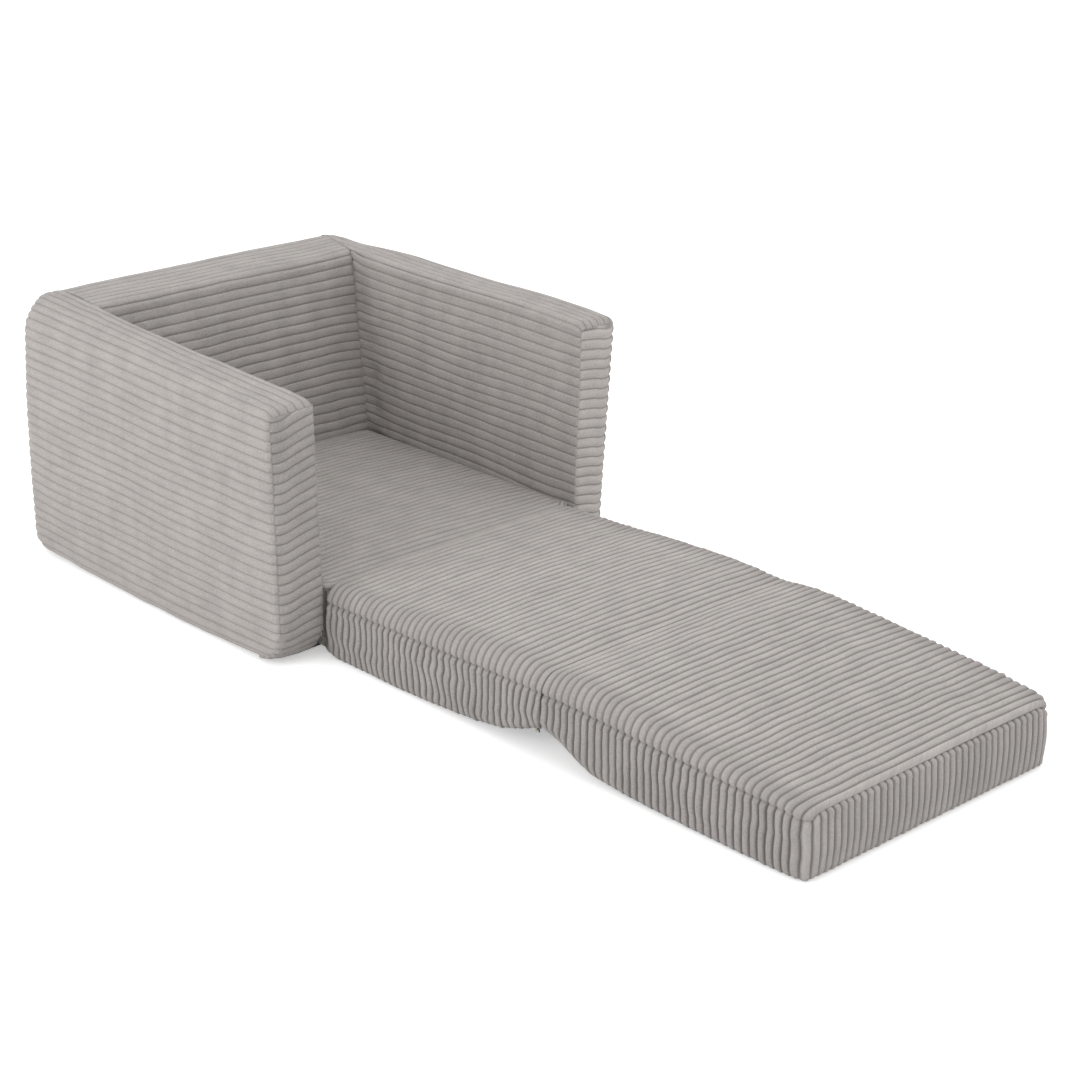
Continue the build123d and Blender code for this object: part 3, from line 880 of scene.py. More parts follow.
def cross_section(width, top, seam, edge, crown, far_share):
    """From the seam on -X, over the top, to the seam on +X, as points (x, z)."""
    near = max(min(edge, top - seam, width * 0.5), 0.05)
    far = min(far_share * near, top - seam)
    angles = np.radians(np.linspace(0, 90, 14))
    curve_x, curve_z = 1 - np.cos(angles), np.sin(angles) - 1
    flat_x = np.linspace(-width + near, width - far, 40)[1:-1]
    flat_z = top + crown * (1 - (flat_x / max(width - near, 1)) ** 2)
    near_x, far_x = -width + near * curve_x, (width - far * curve_x)[::-1]
    near_z, far_z = top + near * curve_z, (top + far * curve_z)[::-1]
    x = np.concatenate([[-width], near_x, flat_x, far_x, [width]])
    z = np.concatenate([[seam], near_z, flat_z, far_z, [seam]])
    height = np.clip((z - seam) / max(top - seam, 1), 0, 1)
    return xyz(x, z + 3.0 * np.clip(x / width, 0, 1) * height * min((top - seam) / 14, 1))


def top_sheet(pad, columns, flap):
    """Rows of the top cover, their places in wales and in y, and the length of a wale.

    flap is how much longer than the end walls the cloth is at the front.
    """
    profile = end_profile(pad)
    reach = reach_along(profile)
    rear, front = reach[1], reach[-1] - reach[-2] + flap
    pitch = (reach[-1] - rear - front) / PAD_WALES
    wales = wale_places(-rear / pitch, PAD_WALES + front / pitch)
    lines = points_at(wales * pitch + rear, reach, profile)
    sheet = np.zeros((len(wales), len(columns), 3))
    for i, (y, z) in enumerate(lines):
        seam = min(pad.seam(y), z - 0.01)
        crown = CROWN * max(min(1, (z - pad.seam(y)) / 14), 0)
        far_share = 0.6 + 0.5 * (1 - ease(y, pad.front, pad.front + 90)) * (pad.roll > 0)
        edge = np.interp(y, *pad.edge_line)
        x, z = respace(cross_section(pad.width(y), z, seam, edge, crown, far_share), columns).T
        sheet[i] = xyz(x, y, z)
    return sheet, wales, lines[:, 0], pitch


# %% [markdown]
# The boxing is one long band round the pad, its wales upright. Along both long sides they
# meet the top's wales one to one. The band starts at the seam, runs down the side, turns
# under the bottom edge and ends at the base cloth.

# %% The boxing as a smooth sheet
BASE_HALF_WIDTH = 193.0
FOOT_RADIUS = 10.0
ROLLED_LIP = ((1, 1.9), (0.45, 1.1), (0.1, 0.3))


def plan_loop(pad):
    """The pad's outline from above, from the rear's middle round by -X, as points (x, y)."""
    y_side = np.linspace(pad.rear, pad.front, 800)
    side = xyz(-pad.width(y_side), y_side)
    rear_half = xyz(np.linspace(0, side[0, 0], 120)[:-1], pad.rear)
    front_half = xyz(np.linspace(side[-1, 0], 0, 120)[1:], pad.front)
    half = np.concatenate([rear_half, side, front_half])
    return np.concatenate([half, half[::-1][1:] * np.array([-1, 1])])


def boxing_sheet(pad, top_wales, top_y, end_pitch, levels):
    """Rows of the boxing, their places in wales, and their points in plan."""
    loop = plan_loop(pad)
    reach = reach_along(loop)
    off_ends = (loop[:, 1] < pad.rear - 4) & (loop[:, 1] > pad.front + 6)
    on_side = (np.abs(loop[:, 0]) > half_width * 0.8) & off_ends
    near_y = np.interp(loop[:, 1], top_y[::-1], top_wales[::-1])
    both = on_side[1:] & on_side[:-1]
    rate = np.where(both, np.abs(np.diff(near_y)), np.diff(reach) / end_pitch)
    phase = np.concatenate([[0], np.cumsum(rate)])
    first_side = np.argmax(on_side)
    phase = phase - phase[first_side] + near_y[first_side]
    places = wale_places(phase[0], phase[-1])
    plan = points_at(np.interp(places, phase, reach), reach, loop)
    step = np.gradient(plan, axis=0)
    outward = unit(xyz(step[:, 1], -step[:, 0]))
    if (outward * (plan - np.array([0, pad.middle]))).sum() < 0:
        outward = -outward
    x, y = plan.T
    rolled = (pad.roll - (y - pad.front)) / np.maximum(-outward[:, 1], 0.3)
    rolled = np.clip(rolled, 0, pad.roll)
    front, rear = pad.front + pad.base_inset[0], pad.rear - pad.base_inset[1]
    foot = xyz(np.clip(x, -BASE_HALF_WIDTH, BASE_HALF_WIDTH), np.clip(y, front, rear))
    share = np.linspace(0, 1, 14)[:, None]
    sheet = np.zeros((len(places), len(levels), 3))
    for i in range(len(places)):
        seam = pad.seam(y[i])
        under = plan[i] + (foot[i] - plan[i]) * share
        width = pad.width(np.clip(under[:, 1], pad.front + 14, pad.rear - 14))
        under_z = pad.bottom(under[:, 1]) + rounding(width - np.abs(under[:, 0]), FOOT_RADIUS)
        lip = [
            [*(plan[i] - outward[i] * back * rolled[i]), seam + rise * rolled[i]]
            for back, rise in ROLLED_LIP
        ]
        line = np.concatenate([lip, [[*plan[i], seam - 1.0]], np.column_stack([under, under_z])])
        sheet[i] = respace(line, levels)
    down = np.clip((pad.seam(y)[:, None] - sheet[:, :, 2]) / 62, 0, 1)
    swell = 1.8 * np.sin(math.pi * down)
    sheet[:, :, :2] += outward[:, None, :] * swell[:, :, None]
    return sheet, places, plan


# %% [markdown]
# The wales wander and the top is a little lumpy, more so away from the seams. The band's
# wales wave between the seam and the floor, since its cloth is longer than the foam is
# high. The band closes in the middle of the pad's rear, where it hangs straight.

# %% Lay both pads' covers
top_columns = seam_places(470, 7.0)
band_levels = seam_places(100, 5.0)
PAD_SEAM = {"pinch": 2.6, "knuckle": 1.0}


def cover_pad(pad, flap, end_pitch, wave):
    """A pad's top and boxing; wave is how far the boxing's wales wander, in mm."""
    sheet, wales, row_y, pitch = top_sheet(pad, top_columns, flap)
    sheet = soft_corner(pad, sheet)
    x, y = sheet[:, :, 0], sheet[:, :, 1]
    away = np.clip((y - pad.front) / 25, 0, 1) * np.clip((pad.rear - y) / 25, 0, 1)
    inside_edges = np.clip((half_width - np.abs(x)) / 40, 0, 1)
    wander = drift(x / 330, y / 260, pad.seed) * 2.2 + drift(x / 130, y / 150, pad.seed + 1) * 0.7
    sheet = sway(sheet, wander * away * inside_edges)
    before, after = ease(-wales, 0.0, 0.2), ease(wales, PAD_WALES, PAD_WALES + 0.2)
    square = pad.roll == 0
    first_wale = 0.9 * (bell(wales, 0.25) + bell(wales - PAD_WALES, 0.25) * square)
    lumps = 1.2 * drift(x / 150, y / 130, pad.seed + 2) * away * inside_edges
    lumps = lumps + (first_wale - 1.1 * (before + after * square))[:, None]
    phase = np.clip(wales, 0, PAD_WALES) - 0.5 * before + 0.5 * after
    top = lay_cover(
        pad.name + "_top", sheet, phase, top_corduroy, (0, pad.middle, 45), pad.name, pad.seed,
        relief=2.7, fullness=2.1, sew=(0, not square, 1, 1), dip=1.6, cropped=0.55,
        stand=lumps, follow=away * 0.6, **PAD_SEAM,
    )
    box, places, plan = boxing_sheet(pad, wales, row_y, end_pitch, band_levels)
    box = soft_corner(pad, box)
    plan_x, plan_y = plan[:, :1], plan[:, 1:]
    on_side = np.clip((np.abs(plan_x) - half_width + 12) / 6, 0, 1)
    level = np.clip((box[:, :, 2] - 4) / 72, 0, 1)
    bend = drift(plan_y / 170 + np.sign(plan_x) * 3, level * 1.1, pad.seed + 5) * wave
    bend = bend * np.sin(math.pi * level) * ease(np.abs(plan_x), 3, 45)
    box = sway(box, bend * (0.35 + 0.65 * on_side))
    facing = pad.front if pad is middle_pad else pad.rear
    to_corner = np.hypot(np.abs(plan_x) - half_width, plan_y - facing)
    pressed = 1.4 * bell(to_corner, 2.4) - 2.0 * (np.abs(plan_y - facing) < 1.0)
    flat_foot = 0.35 + 0.65 * ease(box[:, :, 2] - pad.bottom(box[:, :, 1]), 2, 16)
    band = lay_cover(
        pad.name + "_band", box, places, band_corduroy, (0, pad.middle, 45), pad.name, pad.seed + 9,
        relief=3.5, fullness=2.0, sew=(0, 0, 1, 1), dip=1.3, cropped=0.5,
        stand=pressed, weight=flat_foot, follow=0.5 * on_side, **PAD_SEAM,
    )
    return top, band, pitch


middle_top, middle_band, middle_pitch = cover_pad(middle_pad, 0, 10.4, 5.5)
end_top, end_band, end_pitch = cover_pad(end_pad, 8, 10.2, 2.2)
print("one wale of the pads is", round(middle_pitch, 2), "and", round(end_pitch, 2), "mm")

hand_over("middle_pad", (
    (middle_top, "middle_pad_top_cover", "corduroy_seat"),
    (middle_band, "middle_pad_boxing", "corduroy_band"),
))
hand_over("end_pad", (
    (end_top, "end_pad_top_cover", "corduroy_seat"),
    (end_band, "end_pad_boxing", "corduroy_band"),
))

# %% [markdown]
# ## The shell
#
# The shell's cover has three kinds of panel. A sleeve goes over each arm: its wales run
# along the arm, up the outer side, over the top and down the inner side, and at the rear
# they turn round the shell's corner to a seam on the back. One panel goes over the back
# in between. Small panels close the arms' front ends.
#
# A sleeve is laid as cross-sections along the arm. Each section is a line from the seam
# underneath, up and over; the places of the grooves on it are known from their count. Near
# an end the section is drawn inwards, which rounds the edge there, and wales that reach
# the seam early stop at it, as they do in cut cloth.

# %% Measures of the shell, in mm
shell_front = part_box("left_arm_front_panel")[0][1] / MM
shell_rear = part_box("back_cover")[1][1] / MM
outer_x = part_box("right_arm_cover")[1][0] / MM
inner_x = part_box("right_arm_cover")[0][0] / MM
shell_length = shell_rear - shell_front
SEAM_DEPTH = 1.3
FRONT_SIDE, FRONT_TOP, FRONT_INNER, FRONT_UNDER = 8, 14, 5, 46
REAR_TOP, REAR_UNDER = 38, 54
SEAM_FRONT, SEAM_REAR = 559, 640
OUTER_WALES, TOP_WALES, INNER_WALES = 25, 31, 58
SHELL_RELIEF, SHELL_FULLNESS = 2.3, 2.5
ARM_FRONT_TOP, ARM_RISE = 328, 29
SEAT_TOP = 95.0
BACK_DEPTH, BACK_LEAN = 140, 27 / 262
FOOT = 14
REAR_SEAM = 3.4
NEAR_SEAM_X, FAR_SEAM_X = 205, 230
ARM_MIDDLE = 243


def arm_top(y):
    """The arms' and the back's top, which rises towards the rear."""
    return ARM_FRONT_TOP + ARM_RISE * (y - shell_front) / shell_length


def back_inner(z):
    """The back's inner face, which leans back."""
    return shell_rear - BACK_DEPTH + BACK_LEAN * (z - SEAT_TOP)


def base_rise(y):
    """The underside, lifted at the front and rear of the shell."""
    return both_ends(y, shell_front, shell_rear, (FRONT_UNDER, REAR_UNDER))


def corner_lift(y):
    """How far the outer bottom edges are lifted near the shell's front and rear."""
    front = 1 - ease(y, shell_front + 20, shell_front + 140)
    return 4.5 * (front + ease(y, shell_rear - 190, shell_rear - 40))


def rear_top_radius(x):
    """The radius of the rear top edge, larger towards the corners."""
    return REAR_TOP + 18 * ease(np.abs(x), 222, 275)


def upright_radius(z):
    """The rear corner's radius seen from above, at a height."""
    return 38 + 19 * ease(z, 190, 340)


def inner_edge_radius(y):
    """The radius of an arm's inner top edge, which ends in the back's corner."""
    return 0.5 + 9.5 * (1 - ease(y, 530, 558))


def outer_pitch(y):
    """The length of a wale on an arm's outer side."""
    return np.interp(y, [shell_front, shell_rear], [12.85, 13.4])


def sleeve_seam(y, rear_x):
    """The seam between a sleeve's top and the back's, from the inner corner to rear_x."""
    return np.interp(y, [SEAM_FRONT, SEAM_REAR], [inner_x, rear_x])


# %% [markdown]
# A section is put together from arcs and straight runs, each with its outward normals.


# %% An arm's cross-sections
def arc(centre_x, centre_z, radius, start, end, count=16):
    """Points and outward normals of an arc in the section, angles in degrees."""
    a = np.radians(np.linspace(start, end, count))
    normal = xyz(np.cos(a), np.sin(a))
    return np.array([centre_x, centre_z]) + radius * normal, normal


def run(a, b, normal, count=60):
    """Points and normals of a straight run."""
    t = np.linspace(0, 1, count)[:, None]
    return np.asarray(a) * (1 - t) + np.asarray(b) * t, np.tile(normal, (count, 1))


def join_runs(*runs):
    """One section line from its runs, with its length at every point."""
    points, normals = (np.concatenate(parts) for parts in zip(*runs))
    return points, normals, reach_along(points)


def outer_section(y, seam_x, grows):
    """An arm's outer side and top at y, as for the arm on +X: points, normals, phases."""
    top, base = arm_top(y), base_rise(y)
    edge = 13 + grows * ease(y, shell_front + 40, shell_rear - 60)
    edge = edge + (31 - grows) * ease(y, 470, 600)
    inner_edge = inner_edge_radius(y)
    under = np.interp(y - shell_front - FRONT_UNDER, [0, 9], [-64.6, -90])
    side_top = top - edge
    runs = [
        arc(outer_x - FOOT, base + FOOT, FOOT, under, 0),
        run((outer_x, base + FOOT), (outer_x, side_top), (1, 0)),
        arc(outer_x - edge, side_top, edge, 0, 90, 24),
    ]
    flat_end = max(inner_x + inner_edge, seam_x)
    if flat_end < outer_x - edge:
        runs.append(run((outer_x - edge, top), (flat_end, top), (0, 1), 40))
        if seam_x < inner_x + inner_edge and y < SEAM_FRONT:
            runs.append(arc(inner_x + inner_edge, top - inner_edge, inner_edge, 90, 148, 10))
    points, normals, reach = join_runs(*runs)
    side_start, side_end = reach[16], reach[75]
    groove_z = -3 + OUTER_WALES * outer_pitch(y)
    if groove_z < side_top:
        groove = np.interp(groove_z, [runs[1][0][0, 1], side_top], [side_start, side_end])
    else:
        groove = side_end + edge * math.asin(min((groove_z - side_top) / edge, 1))
    flat = outer_x - edge - inner_x - inner_edge
    full = side_end + edge * math.pi / 2 + flat + 0.95 * inner_edge
    top_pitch = (full - groove) / (TOP_WALES - OUTER_WALES)
    phases = OUTER_WALES + (reach - groove) / np.where(reach < groove, outer_pitch(y), top_pitch)
    if y < SEAM_FRONT:
        phases = np.minimum(phases, TOP_WALES)
        phases[-1] = TOP_WALES
        return points, normals, phases
    keep = points[:, 0] >= min(seam_x, points[:, 0].max()) - 1e-6
    return points[keep], normals[keep], phases[keep]


def inner_section(y):
    """The rest of an arm's inner edge and its inner side at y, as for +X."""
    top, edge = arm_top(y), inner_edge_radius(y)
    points, normals, reach = join_runs(
        arc(inner_x + edge, top - edge, edge, 148, 180, 8),
        run((inner_x, top - edge), (inner_x, max(base_rise(y), 1.0)), (-1, 0), 90),
    )
    return points, normals, TOP_WALES + reach / np.interp(y, [shell_front, 550], [12.8, 13.3])


def end_inset(y, side_z, side_x):
    """How far the section is drawn in at y: at its sides and at its top."""
    side = both_ends(y, shell_front, shell_rear, (FRONT_SIDE, upright_radius(side_z)))
    top = both_ends(y, shell_front, shell_rear, (FRONT_TOP, rear_top_radius(side_x)))
    return side, top


def sleeve_sheet(sections, wanted, places_y):
    """Rows at the wanted phases over sections at places_y; returns points and phases."""
    columns, phases = [], []
    for y in places_y:
        points, normals, line = sections(y)
        p = np.clip(wanted, line[0], line[-1])
        x, z = points_at(p, line, points).T
        nx, nz = points_at(p, line, normals).T
        side, top = end_inset(y, z, x)
        side = np.where(nx < 0, rounding(y - shell_front, FRONT_INNER), side)
        down = nz < 0
        columns.append(xyz(x - side * np.where(down, 1, nx), y, z - np.where(down, 0, top * nz)))
        phases.append(p)
    return np.stack(columns, axis=1), np.stack(phases, axis=1)


# %% [markdown]
# The sleeves' columns stand closer near both ends, where the cloth turns. As the arms stand
# in the photo, the near one presses in on the seat and the far one leans out.

# %% The sleeves
front_steps = shell_front + np.array([SEAM_DEPTH, 2.0, 3.0, 4.4, 6.2, 8.5, 11.5, 15, 20, 26, 33])
rear_turn = np.radians(np.array([68, 63, 58, 53, 48, 43, 37, 31, 25, 19, 12, 5, 0]))
rear_steps = shell_rear - 60 * (1 - np.sin(rear_turn[::-1]))
rear_steps[-1] = shell_rear - REAR_SEAM
body_steps = np.linspace(shell_front + 40, rear_steps[0] - 6, 62)
SLEEVE_Y = np.concatenate([front_steps, body_steps, rear_steps])


def settle(sheet, side):
    """Turns a sheet made for the arm on +X into a side's, with that arm's slouch towards its
    front end: the near arm presses in on the seat, and the far one leans out at the top and
    stands a little higher."""
    x, y, z = sheet[..., 0], sheet[..., 1], sheet[..., 2]
    share = np.clip((x - inner_x) / (outer_x - inner_x), 0, 1)
    if side < 0:
        inner = -np.interp(z, [0, 40, 100, 200, 330], [5, 6, 7.5, 5, 1.5])
        outer = np.interp(z, [0, 330], [0, 3])
        lift = 4 * (1 - share)
    else:
        inner = np.interp(z, [0, 130, 200, 240, 330], [1, 1, 5, 8, 10.7])
        outer = np.interp(z, [60, 330], [-13.5, 9.5])
        lift = 9
    lean = inner * (1 - share) + outer * share
    lean = lean * (1 - ease(y, shell_front + 40, shell_front + 330))
    lift = lift * np.clip(z / 330, 0, 1) ** 2 * (1 - ease(y, shell_front + 60, SEAM_FRONT))
    lift = lift + corner_lift(y) * share * np.clip(1 - z / 60, 0, 1)
    return xyz(side * (x + lean), y, z + lift)


def outer_cover(name, side, rear_x, seed):
    """A sleeve's outer side and top."""
    wanted = wale_places(-1.0, 32.6)
    grows = 24 if side < 0 else 3
    outer, phase = sleeve_sheet(
        lambda y: outer_section(y, sleeve_seam(y, rear_x) if y >= SEAM_FRONT else 0, grows),
        wanted, SLEEVE_Y,
    )
    y, z = outer[:, :, 1], outer[:, :, 2]
    inside_end = np.clip((y - shell_front) / 60, 0, 1) * np.clip((shell_rear - y) / 60, 0, 1)
    z += 1.6 * drift(y / 330, z / 260, seed) * inside_end * (z < 300) * ease(z, 5, 40)
    belly = 1.2 * ease(z, 20, 120) * ease(300 - z, 0, 120)
    stand = (1.5 * drift(y / 260, z / 190, seed + 1) + belly) * inside_end
    return lay_cover(
        name, settle(outer, side), phase, shell_corduroy, (side * ARM_MIDDLE, 390, 160),
        name.replace("_sleeve", ""), seed, relief=SHELL_RELIEF, fullness=SHELL_FULLNESS,
        sew=(1, 0, 1, 1), dip=0.2, cropped=0.15, stand=stand, follow=0.7,
    )


def inner_cover(name, side, seed):
    """A sleeve's inner side, down to the seat and back into the corner."""
    wanted = wale_places(TOP_WALES, INNER_WALES)
    start = shell_front + SEAM_DEPTH
    columns, phases = [], []
    for share in seam_places(455, 7.5):
        points, normals, line = inner_section(start + share * (SEAM_FRONT - 0.5 - start))
        x, z = points_at(wanted, line, points).T
        nx, nz = points_at(wanted, line, normals).T
        y = start + share * (back_inner(z) + 4.0 - start)
        z = np.maximum(z, base_rise(y))
        front = y - shell_front
        columns.append(xyz(
            x - nx * rounding(front, FRONT_INNER), y, z - nz * rounding(front, FRONT_TOP)
        ))
        phases.append(np.clip(wanted, line[0], line[-1]))
    inner, phase = np.stack(columns, axis=1), np.stack(phases, axis=1)
    front = inner[:, :, 1] - shell_front
    corner = np.clip(back_inner(inner[:, :, 2]) - inner[:, :, 1], 0, 400)
    lower = ease(phase, TOP_WALES + 1, TOP_WALES + 4)
    sag = 6 * np.exp(-corner / 32)
    wander = 2.4 * drift(inner[:, :, 1] / 240, phase / 14, seed + 2)
    inner[:, :, 2] += (wander * ease(corner, 0, 80) * ease(front, 10, 60) - sag) * lower
    puckers = 0.75 + 0.75 * drift(phase / 3, corner / 200, seed + 4)
    hollow = -5.5 * bell(corner - 22, 16) * puckers
    swell = 0.96 * ease(corner, 10, 90) * ease(front, 0, 60)
    return lay_cover(
        name + "_inner", settle(inner, side), phase, shell_corduroy, (side * ARM_MIDDLE, 300, 160),
        name.replace("_sleeve", ""), seed, relief=1.5, fullness=3.2,
        sew=(0, 0, 1, 1), dip=0.5, cropped=0.35, stand=(hollow + swell) * lower, follow=0.7,
    )


def make_sleeve(name, side, rear_x, seed):
    """One arm's sleeve, joined from its outer and inner side."""
    skin = outer_cover(name, side, rear_x, seed)
    activate(inner_cover(name, side, seed), skin)
    bpy.ops.object.join()
    return skin


left_sleeve = make_sleeve("left_arm_sleeve", -1, NEAR_SEAM_X, 31)
right_sleeve = make_sleeve("right_arm_sleeve", 1, FAR_SEAM_X, 47)

# %% [markdown]
# The panels at the arms' front ends carry on the outer side's wales, which rise a little
# towards the inner edge. A panel goes down the front and under the rounded bottom edge.
# The right one gets a lighter copy of the front's corduroy, as painted light.

# %% The front panels
PANEL_PITCH = 12.75
PANEL_CORNER = 5.5


def make_front_panel(name, side, seed, look):
    """The sewn panel at an arm's front end."""
    top_z = arm_top(shell_front) - rounding(SEAM_DEPTH, FRONT_TOP)
    under = arc(shell_front + FRONT_UNDER, FRONT_UNDER, FRONT_UNDER, 180, 270, 30)[0]
    front = xyz(shell_front, np.linspace(top_z, FRONT_UNDER, 120))
    line = np.concatenate([front, under[1:]])[::-1]
    reach = reach_along(line)
    level = np.interp(FRONT_UNDER, line[:, 1], reach)
    outer_edge = outer_x - rounding(SEAM_DEPTH, FRONT_SIDE)
    inner_edge = inner_x + rounding(SEAM_DEPTH, FRONT_INNER)
    tilt = 8.5 if side < 0 else 4.5
    wanted = wale_places(-2.5, 26)
    columns, phases = [], []
    for share in seam_places(outer_edge - inner_edge, 5.0):
        x = outer_edge + (inner_edge - outer_edge) * share
        rise = tilt * ease(share, 0.0, 1.0) - 1.6 * math.sin(math.pi * min(share * 2.2, 1))
        line_phase = (reach - level + FRONT_UNDER + 3 - rise) / PANEL_PITCH
        from_edge = min(min(x - inner_edge, outer_edge - x) / PANEL_CORNER, 1)
        corner = 2.7 * (1 - math.sqrt(max(0, 1 - (1 - from_edge) ** 2)))
        p = np.clip(wanted, line_phase[0], np.interp(reach[-1] - corner, reach, line_phase))
        columns.append(xyz(x, *points_at(p, line_phase, line).T))
        phases.append(p)
    sheet, phase = np.stack(columns, axis=1), np.stack(phases, axis=1)
    edge_gap = np.minimum(sheet[:, :, 0] - inner_edge, outer_edge - sheet[:, :, 0])
    sheet[:, :, 1] += SEAM_DEPTH * np.exp(-edge_gap / 3)
    stand = 1.3 * ease(edge_gap, 0, 22) + 0.8 * drift(sheet[:, :, 2] / 120, edge_gap / 60, seed)
    return lay_cover(
        name, settle(sheet, side), phase, look, (side * ARM_MIDDLE, 300, 160),
        name.replace("_panel", ""), seed, relief=2.2, fullness=SHELL_FULLNESS,
        dip=0.6, cropped=0.3, stand=stand, follow=0.6,
    )


left_panel = make_front_panel("left_arm_panel", -1, 53, front_corduroy)
right_panel = make_front_panel("right_arm_panel", 1, 59, lit_front_corduroy)

# %% [markdown]
# The back's panel comes up out of the seat, goes over the top and down behind to the seam
# underneath. On top it lies between the two sleeves' seams; the one at the right slants
# outwards.

# %% The back cover
BACK_EDGE = 10.5
SEAM_GAP = 2.5
BACK_PITCHES = (13.3, 12.6, 13.1)
INNER_POINTS, EDGE_POINTS, TOP_POINTS = 80, 12, 40


def back_profile():
    """The back's line from inside the seat, over the top, to the seam underneath."""
    top_inner, turn_y = back_inner(350), shell_rear - REAR_TOP
    inner_z = np.linspace(80, arm_top(top_inner) - 11, INNER_POINTS)
    edge_z = arm_top(top_inner) - BACK_EDGE
    top_y = np.linspace(top_inner + 12, turn_y, TOP_POINTS)
    turn = arc(turn_y, arm_top(turn_y) - REAR_TOP, REAR_TOP, 90, 0, 24)[0]
    return np.concatenate([
        xyz(back_inner(inner_z), inner_z),
        arc(top_inner + BACK_EDGE, edge_z, BACK_EDGE, 174, 90, EDGE_POINTS)[0],
        xyz(top_y, arm_top(top_y)),
        turn[1:],
        xyz(shell_rear, np.linspace(turn[-1, 1] - 2, REAR_UNDER, 90)),
        arc(shell_rear - REAR_UNDER, REAR_UNDER, REAR_UNDER, 0, -90, 24)[0][1:],
    ])


profile = back_profile()
reach = reach_along(profile)
turns = reach[[0, INNER_POINTS - 1, INNER_POINTS + EDGE_POINTS + TOP_POINTS - 1, -1]]
inner_end, top_end = turns[1:3]
turn_phases = np.concatenate([[0], np.cumsum(np.diff(turns) / BACK_PITCHES)])
back_phase = np.interp(reach, turns, turn_phases)
wanted = wale_places(0, back_phase[-1])
line_y, line_z = points_at(wanted, back_phase, profile).T
line_reach = np.interp(wanted, back_phase, reach)
on_rear = ease(line_reach, top_end - 20, top_end + 34)
rear_edge = outer_x - rounding(REAR_SEAM, upright_radius(line_z)) - SEAM_GAP
inner_edge = inner_x + 2 * ease(-line_reach, -inner_end + 15, -inner_end + 30)


def back_edge(rear_x):
    """How far out the panel goes on one side, row by row."""
    seam = np.where(line_y < SEAM_FRONT, inner_edge, sleeve_seam(line_y, rear_x))
    return (seam * (1 - on_rear) + rear_edge * on_rear)[:, None]


edge_near, edge_far = back_edge(NEAR_SEAM_X), back_edge(FAR_SEAM_X)
x = -edge_near + (edge_near + edge_far) * seam_places(2 * inner_x, 7.0)
row_y, row_z, row_reach = line_y[:, None], line_z[:, None], line_reach[:, None]
from_rear = shell_rear - row_y
fall = rounding(from_rear, rear_top_radius(x)) - rounding(from_rear, REAR_TOP)
fall = fall * (1 - ease(row_reach, top_end + 70, top_end + 170)) * (row_y > SEAM_FRONT)
from_side = np.minimum(x + edge_near, edge_far - x)
inner_part = ease(row_reach, 0, 30) * (1 - ease(row_reach, inner_end - 40, inner_end))
waver = drift(x / 330, row_reach / 260, 71) * 2.2 + drift(x / 90, row_reach / 90, 72) * 0.7
waver = waver * ease(from_side, 0, 60) - 4.0 * np.exp(-from_side / 30) * inner_part
back_stand = 1.5 * drift(x / 230, row_reach / 200, 73) * ease(from_side, 0, 60)
back_stand = back_stand + 1.6 * ease(from_side, 4, 80) * (inner_part + on_rear[:, None])
back_cover = lay_cover(
    "back_panel", sway(xyz(x, row_y, row_z - fall), waver), wanted, shell_corduroy,
    (0, 615, 180), "back", 77, relief=1.8, fullness=3.6,
    sew=(0, 1, 1, 1), dip=0.4, cropped=0.5, stand=back_stand, follow=0.7,
)

# %% [markdown]
# The seat's top runs between the arms from the fold to the back. Its pile is pressed flat,
# so the wales are low. It goes over the fold's edge to an upright band, which only shows
# when the mattress is lifted.

# %% The seat
SEAT_HALF = inner_x - 0.8
SEAT_SEAM = 84.0
SEAT_PITCH, BAND_PITCH = 10.8, 10.6
FOLD_OVER = 12
END_RECESS = 12.0
seat_y = np.linspace(shell_front + 2, back_inner(SEAT_TOP) + 1, 90)
seat_line = np.concatenate([
    [[shell_front, SEAT_SEAM]],
    arc(shell_front + 1.0, 93.4, 1.6, 180, 90, 8)[0],
    xyz(seat_y, SEAT_TOP),
])
reach = reach_along(seat_line)
wanted = wale_places(-FOLD_OVER / SEAT_PITCH, (reach[-1] - FOLD_OVER) / SEAT_PITCH)
line_y, line_z = points_at(wanted * SEAT_PITCH + FOLD_OVER, reach, seat_line).T
row_y = line_y[:, None]
from_front = row_y - shell_front
x = (-SEAT_HALF + 2 * SEAT_HALF * seam_places(2 * SEAT_HALF, 7.0))[None, :]
x = np.repeat(x, len(wanted), axis=0)
crown = 2.4 * (1 - (x / SEAT_HALF) ** 2) * np.clip(from_front / 60, 0, 1)
recess = END_RECESS * ease(np.abs(x), 194, 206) * (1 - ease(from_front, 2, 30))
from_side, from_back = SEAT_HALF - np.abs(x), line_y[-1] - row_y
waver = drift(x / 280, row_y / 300, 81) * 2.5 + drift(x / 110, row_y / 120, 82) * 0.8
fade = ease(from_side, 0, 50) * ease(from_front, 6, 50) * ease(from_back, 0, 40)
seat_stand = 1.6 * drift(x / 170, row_y / 170, 83) * fade - 3.0 * np.exp(-from_back / 8)
seat_stand = seat_stand - 3.0 * np.exp(-from_side / 7) * ease(from_front, 4, 20)
seat_sheet = xyz(x, row_y + recess, line_z[:, None] + crown)
seat_top = lay_cover(
    "seat_panel", sway(seat_sheet, waver * fade), wanted, seat_corduroy, (0, 300, 40), "seat", 87,
    relief=2.2, fullness=2.0, sew=(0, 1, 1, 1), stand=seat_stand, follow=0.6 * fade,
)

